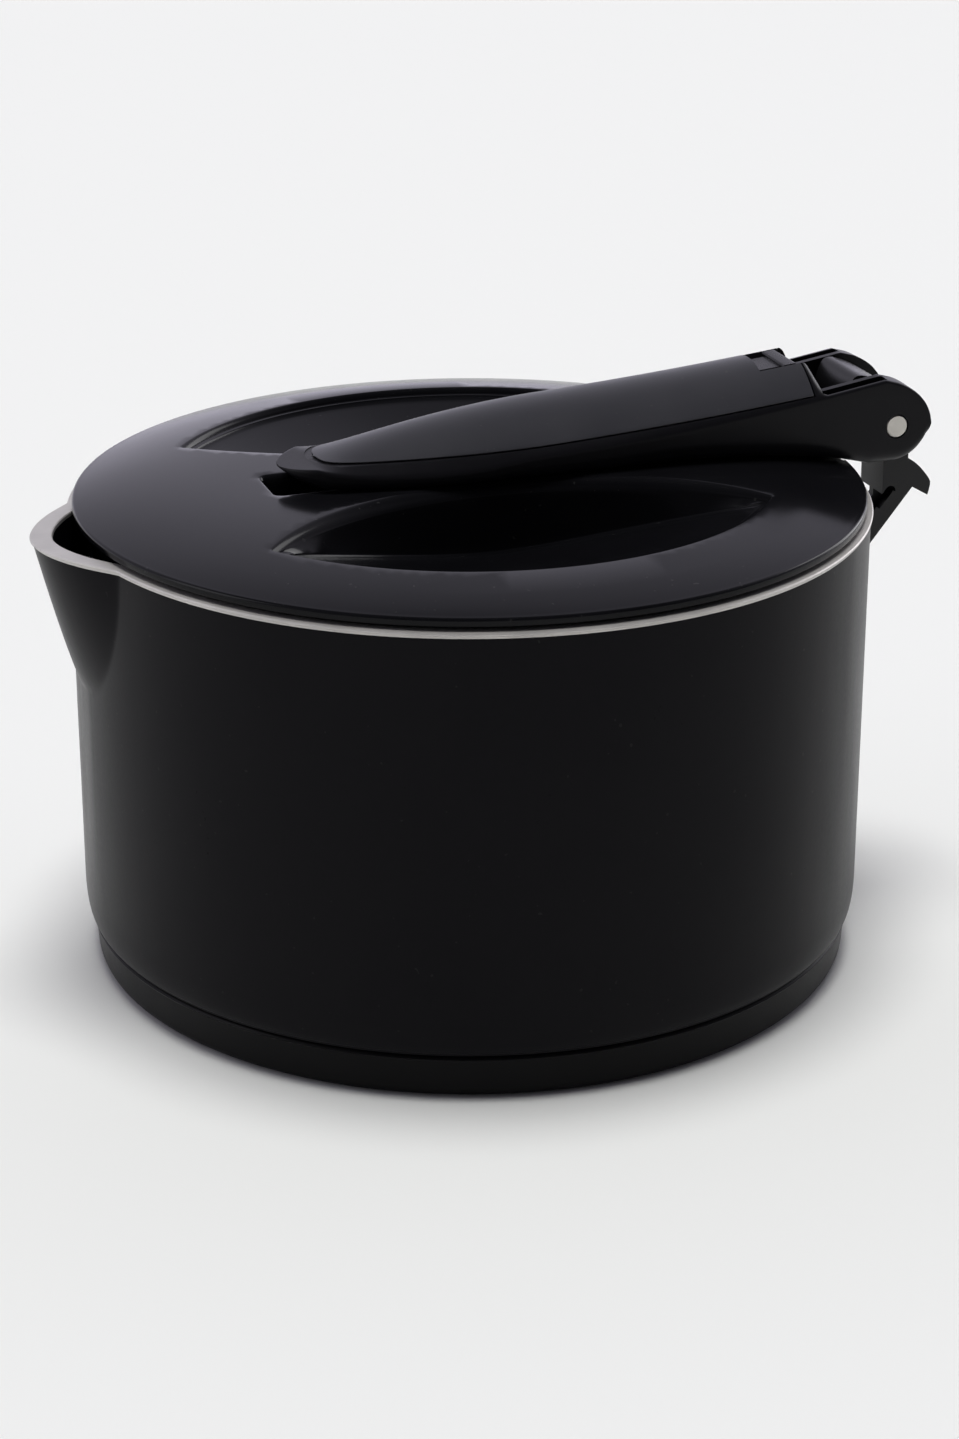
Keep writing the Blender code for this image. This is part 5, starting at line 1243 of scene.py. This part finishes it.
PAD_FACE = PAD_INNER + 0.0017
PAD_TOP, PAD_BOTTOM, PAD_HALF = RIM_HEIGHT - 0.0100, RIM_HEIGHT - 0.0280, 0.0045
PAD_CORNER, PAD_DEPTH = 0.0020, 0.0040
POCKET_LENGTH, POCKET_WIDTH, POCKET_DEPTH, POCKET_UP_SHARE, POCKET_BEYOND = 0.0085, 0.0024, 0.0016, 2.2, 0.0060


def from_pin(radius, shares):
    """Points at shares of a radius and angles in degrees from the pin: (x, z)."""
    shares = np.atleast_2d(np.asarray(shares, float))
    reach, turn = radius * shares[:, 0], np.radians(shares[:, 1])
    return np.stack([PIN_X + reach * np.cos(turn), PIN_Z + reach * np.sin(turn)], axis=1)


def spline(points, closed=False):
    """A smooth curve through points: one cubic for each stretch, which follows its neighbours' directions."""
    points = np.asarray(points, float)
    if closed:
        before, after = np.roll(points, 1, axis=0), np.roll(points, -1, axis=0)
        starts, ends = points, after
        start_way, end_way = (after - before) / 2, np.roll((after - before) / 2, -1, axis=0)
    else:
        way = np.gradient(points, axis=0)
        starts, ends, start_way, end_way = points[:-1], points[1:], way[:-1], way[1:]
    t = np.linspace(0, 1, 6, endpoint=False)[None, :, None]
    curve = ((2 * t**3 - 3 * t**2 + 1) * starts[:, None] + (t**3 - 2 * t**2 + t) * start_way[:, None]
             + (3 * t**2 - 2 * t**3) * ends[:, None] + (t**3 - t**2) * end_way[:, None]).reshape(-1, 2)
    return curve if closed else np.vstack([curve, points[-1]])


def arm_top(x):
    """Height of the arm's upper edge, a straight line under the neck's outer end."""
    return PIN_Z - ARM_TOP_DROP - (NECK_END - x) * math.tan(ARM_TOP_SLOPE)


def arm_outline():
    """The arm's plate: its lower edge to the notch, round the hook's spline and back under the neck."""
    root = PAD_FACE - PAD_OVERLAP
    notch = from_pin(HOOK_RADIUS, NOTCH)[0]
    back = spline(from_pin(HOOK_RADIUS, HOOK_BACK))
    inside_x = (NECK_START + NECK_END) / 2
    first = (root, notch[1] - (notch[0] - root) * math.tan(ARM_SLOPE))
    under_neck = [(inside_x, back[-1, 1]), (inside_x, arm_top(inside_x)), (root, arm_top(root))]
    return np.array([first, notch, *back, *under_neck])


def arm_pocket(side):
    """The long round-ended pocket in one side of the arm: half circles joined by straight lines, then turned."""
    notch = from_pin(HOOK_RADIUS, NOTCH)[0]
    turn = np.linspace(-math.pi / 2, math.pi / 2, 9)
    reach, radius = (POCKET_LENGTH - POCKET_WIDTH) / 2, POCKET_WIDTH / 2
    flat = np.concatenate([np.stack([reach + radius * np.cos(turn), radius * np.sin(turn)], axis=1),
                           np.stack([-reach - radius * np.cos(turn), -radius * np.sin(turn)], axis=1)])
    along = np.array([math.cos(ARM_SLOPE), math.sin(ARM_SLOPE)])
    across = np.array([-math.sin(ARM_SLOPE), math.cos(ARM_SLOPE)])
    centre = notch - (POCKET_LENGTH / 2 + POCKET_WIDTH) * along + POCKET_UP_SHARE * POCKET_WIDTH * across
    outline = centre + flat[:, :1] * along + flat[:, 1:] * across
    return prism(outline, *sorted((side * (ARM_HALF - POCKET_DEPTH), side * POCKET_BEYOND)))


def pad_surface():
    """The pad's block with round corners, carried along X."""
    reach = (PAD_HALF - PAD_CORNER, (PAD_TOP - PAD_BOTTOM) / 2 - PAD_CORNER)
    flat = round_rectangle((0.0, (PAD_TOP + PAD_BOTTOM) / 2), reach, PAD_CORNER, 7)
    rings = np.stack([np.insert(flat, 0, place, axis=1) for place in (WALL_RADIUS - PAD_DEPTH, PAD_FACE)])
    points, faces = skin(rings)
    count = len(flat)
    return points, faces + [tuple(range(count)), tuple(range(count, 2 * count))]


# %% The bracket itself
bracket_look = moulded_finish("bracket_black", (0.007, 0.007, 0.0075), (0.010, 0.010, 0.0105), 0.30, 0.38, 0.0006,
                              0.000012, 0.25)
bracket = shell("bracket_moulding", [pad_surface()], "kettle", (bracket_look,))
top_edge = np.array([(x, arm_top(x)) for x in (PAD_FACE - PAD_OVERLAP, NECK_END)])
flange = np.concatenate([top_edge, top_edge[::-1] - (0, FLANGE_THICK / math.cos(ARM_TOP_SLOPE))])
neck = [(NECK_START, arm_top(NECK_START) - NECK_OVERLAP), (NECK_END, arm_top(NECK_END) - NECK_OVERLAP),
        (NECK_END, PIN_Z - EAR_RADIUS / 2 - NECK_OVERLAP), (NECK_START, PIN_Z - EAR_RADIUS / 2)]
knuckle = spline(from_pin(EAR_RADIUS, KNUCKLE), closed=True)
outlines = {"arm": (arm_outline(), ARM_HALF), "flange": (flange, FLANGE_HALF), "neck": (neck, NECK_HALF),
            "knuckle": (knuckle, KNUCKLE_HALF)}
cut(bracket, [cutter(name, prism(outline, -half, half)) for name, (outline, half) in outlines.items()], "UNION")
wall_low, wall_high = PAD_BOTTOM - WALL_CUT_BEYOND, PAD_TOP + WALL_CUT_BEYOND
wall = skin(turned_rings([(PAD_INNER, wall_low), (PAD_INNER, wall_high)]), (0, 0, wall_low), (0, 0, wall_high))
tools = [cutter("wall", wall), pin_bore("sleeve_bore", PIN_RADIUS + SLEEVE_BORE_ROOM)]
tools += [cutter(f"pocket_{side}", arm_pocket(side)) for side in (-1, 1)]
cut(bracket, tools)
soften(bracket, width=0.00035, segments=3)
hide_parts("handle_bracket")
dress("bracket_saddle", plain_steel("blackened_saddle", (0.045, 0.045, 0.048), 0.34, 0.46))

# %% [markdown]
# ## Floor, light and camera
#
# The kettle stands on a plain pale floor in soft light. Black gloss shows only what it reflects, so the room
# matters more than the lamps: bright low down behind the kettle, darker higher up and dark behind the camera. A
# wide soft light overhead brightens the floor, and a tall one at the right gives the wall its pale edge.

# %% Floor
FLOOR_HALF = 6.0
floor_points = np.array([(-FLOOR_HALF, -FLOOR_HALF, 0), (FLOOR_HALF, -FLOOR_HALF, 0), (FLOOR_HALF, FLOOR_HALF, 0),
                         (-FLOOR_HALF, FLOOR_HALF, 0)], float)
floor_mesh = bpy.data.meshes.new("floor")
floor_mesh.from_pydata(floor_points.tolist(), [], [(0, 1, 2, 3)])
floor = bpy.data.objects.new("floor", floor_mesh)
bpy.context.scene.collection.objects.link(floor)
paper = Finish("pale_floor")
paper.shader.inputs["Base Color"].default_value = (0.868, 0.876, 0.844, 1)
paper.shader.inputs["Roughness"].default_value = 0.9
paper.shader.inputs["Specular IOR Level"].default_value = 0.1
floor.data.materials.append(paper.material)
floor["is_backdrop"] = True

# %% Room
FLOOR_SHADE = 0.855
ROOM_STRENGTH = 1.5
ROOM_SHADES = ((0.0, 0.80), (0.17, 0.70), (0.27, 0.52), (0.38, 0.45), (0.50, 0.45), (0.68, 0.40), (0.80, 0.10),
               (1.0, 0.08))
FRONT_EDGES, FRONT_SHADE = (-0.55, 0.25), 0.10
ROOM_TINT = (1.0, 0.967, 1.135)


def build_room():
    """The world's light: by height and by side for reflections, and one plain shade for what the camera sees."""
    world = bpy.data.worlds.new("studio")
    bpy.context.scene.world = world
    world.use_nodes = True
    nodes, links = world.node_tree.nodes, world.node_tree.links
    nodes.clear()
    direction = nodes.new("ShaderNodeTexCoord").outputs["Generated"]
    parts = nodes.new("ShaderNodeSeparateXYZ")
    links.new(direction, parts.inputs[0])
    height = nodes.new("ShaderNodeValToRGB")
    links.new(parts.outputs["Z"], height.inputs["Fac"])
    stops = height.color_ramp.elements
    for number, (place, value) in enumerate(ROOM_SHADES):
        stop = stops[0] if number == 0 else stops[-1] if place == 1.0 else stops.new(place)
        stop.color = (*(value * part for part in ROOM_TINT), 1.0)
    front = nodes.new("ShaderNodeMapRange")
    links.new(parts.outputs["Y"], front.inputs["Value"])
    for socket, value in zip(("From Min", "From Max", "To Min", "To Max"), (*FRONT_EDGES, FRONT_SHADE, 1.0)):
        front.inputs[socket].default_value = value
    shade = nodes.new("ShaderNodeMix")
    shade.data_type = "RGBA"
    shade.blend_type = "MULTIPLY"
    shade.inputs["Factor"].default_value = 1.0
    colour_inputs = [s for s in shade.inputs if s.type == "RGBA"]
    links.new(height.outputs["Color"], colour_inputs[0])
    links.new(front.outputs["Result"], colour_inputs[1])
    lit, seen = nodes.new("ShaderNodeBackground"), nodes.new("ShaderNodeBackground")
    links.new([s for s in shade.outputs if s.type == "RGBA"][0], lit.inputs["Color"])
    lit.inputs["Strength"].default_value = ROOM_STRENGTH
    seen.inputs["Color"].default_value = (FLOOR_SHADE, FLOOR_SHADE, FLOOR_SHADE, 1)
    ray = nodes.new("ShaderNodeLightPath")
    both = nodes.new("ShaderNodeMixShader")
    links.new(ray.outputs["Is Camera Ray"], both.inputs["Fac"])
    links.new(lit.outputs[0], both.inputs[1])
    links.new(seen.outputs[0], both.inputs[2])
    links.new(both.outputs[0], nodes.new("ShaderNodeOutputWorld").inputs["Surface"])


def soft_light(name, place, target, size, watts):
    """A wide lamp at a place, turned to face a target."""
    lamp = bpy.data.lights.new(name, "AREA")
    lamp.shape = "RECTANGLE"
    lamp.size, lamp.size_y = size
    lamp.energy = watts
    holder = bpy.data.objects.new(name, lamp)
    holder.location = place
    holder.rotation_euler = (Vector(target) - Vector(place)).to_track_quat("-Z", "Y").to_euler()
    holder.visible_diffuse = False
    bpy.context.scene.collection.objects.link(holder)


build_room()
KETTLE_MIDDLE = (0.0, 0.0, 0.05)
SUN_STRENGTH, SUN_WIDTH = 2.38, math.radians(25.0)
sun = bpy.data.lights.new("ceiling", "SUN")
sun.energy, sun.angle = SUN_STRENGTH, SUN_WIDTH
ceiling = bpy.data.objects.new("ceiling", sun)
ceiling.location = (0.0, 0.0, 2.0)
ceiling.visible_glossy = False
bpy.context.scene.collection.objects.link(ceiling)
soft_light("right_card", (1.5, 0.7, 0.7), KETTLE_MIDDLE, size=(0.7, 1.2), watts=9.0)
soft_light("left_card", (-1.6, 0.2, 0.8), KETTLE_MIDDLE, size=(0.8, 1.2), watts=5.0)
bpy.context.scene.view_settings.view_transform = "Standard"

# %% [markdown]
# The camera stands where the photograph was taken from, 0.66 m from the kettle and 22 degrees above it. Its place
# was found by matching the rim, the base and the hinge pin in the photograph to their real circles.

# %% Camera
CAMERA_PLACE = Vector((-0.1964, -0.5797, 0.2894))
CAMERA_AHEAD = Vector((0.3010, 0.8792, -0.3694)).normalized()
CAMERA_LENS = 80.06
camera = bpy.data.objects.new("camera", bpy.data.cameras.new("camera"))
camera.data.lens = CAMERA_LENS
camera.data.sensor_width = 36.0
camera.data.clip_start = 0.01
camera.location = CAMERA_PLACE
camera.rotation_euler = CAMERA_AHEAD.to_track_quat("-Z", "Y").to_euler()
bpy.context.scene.collection.objects.link(camera)
bpy.context.scene.camera = camera

# %% Compare the finished box with the CAD box
visual_bounds = [list(corner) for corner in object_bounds()]
change = [[round((a - b) / MM, 2) for a, b in zip(*pair)] for pair in zip(visual_bounds, cad_bounds)]
print("visual box less CAD box, mm:", change)
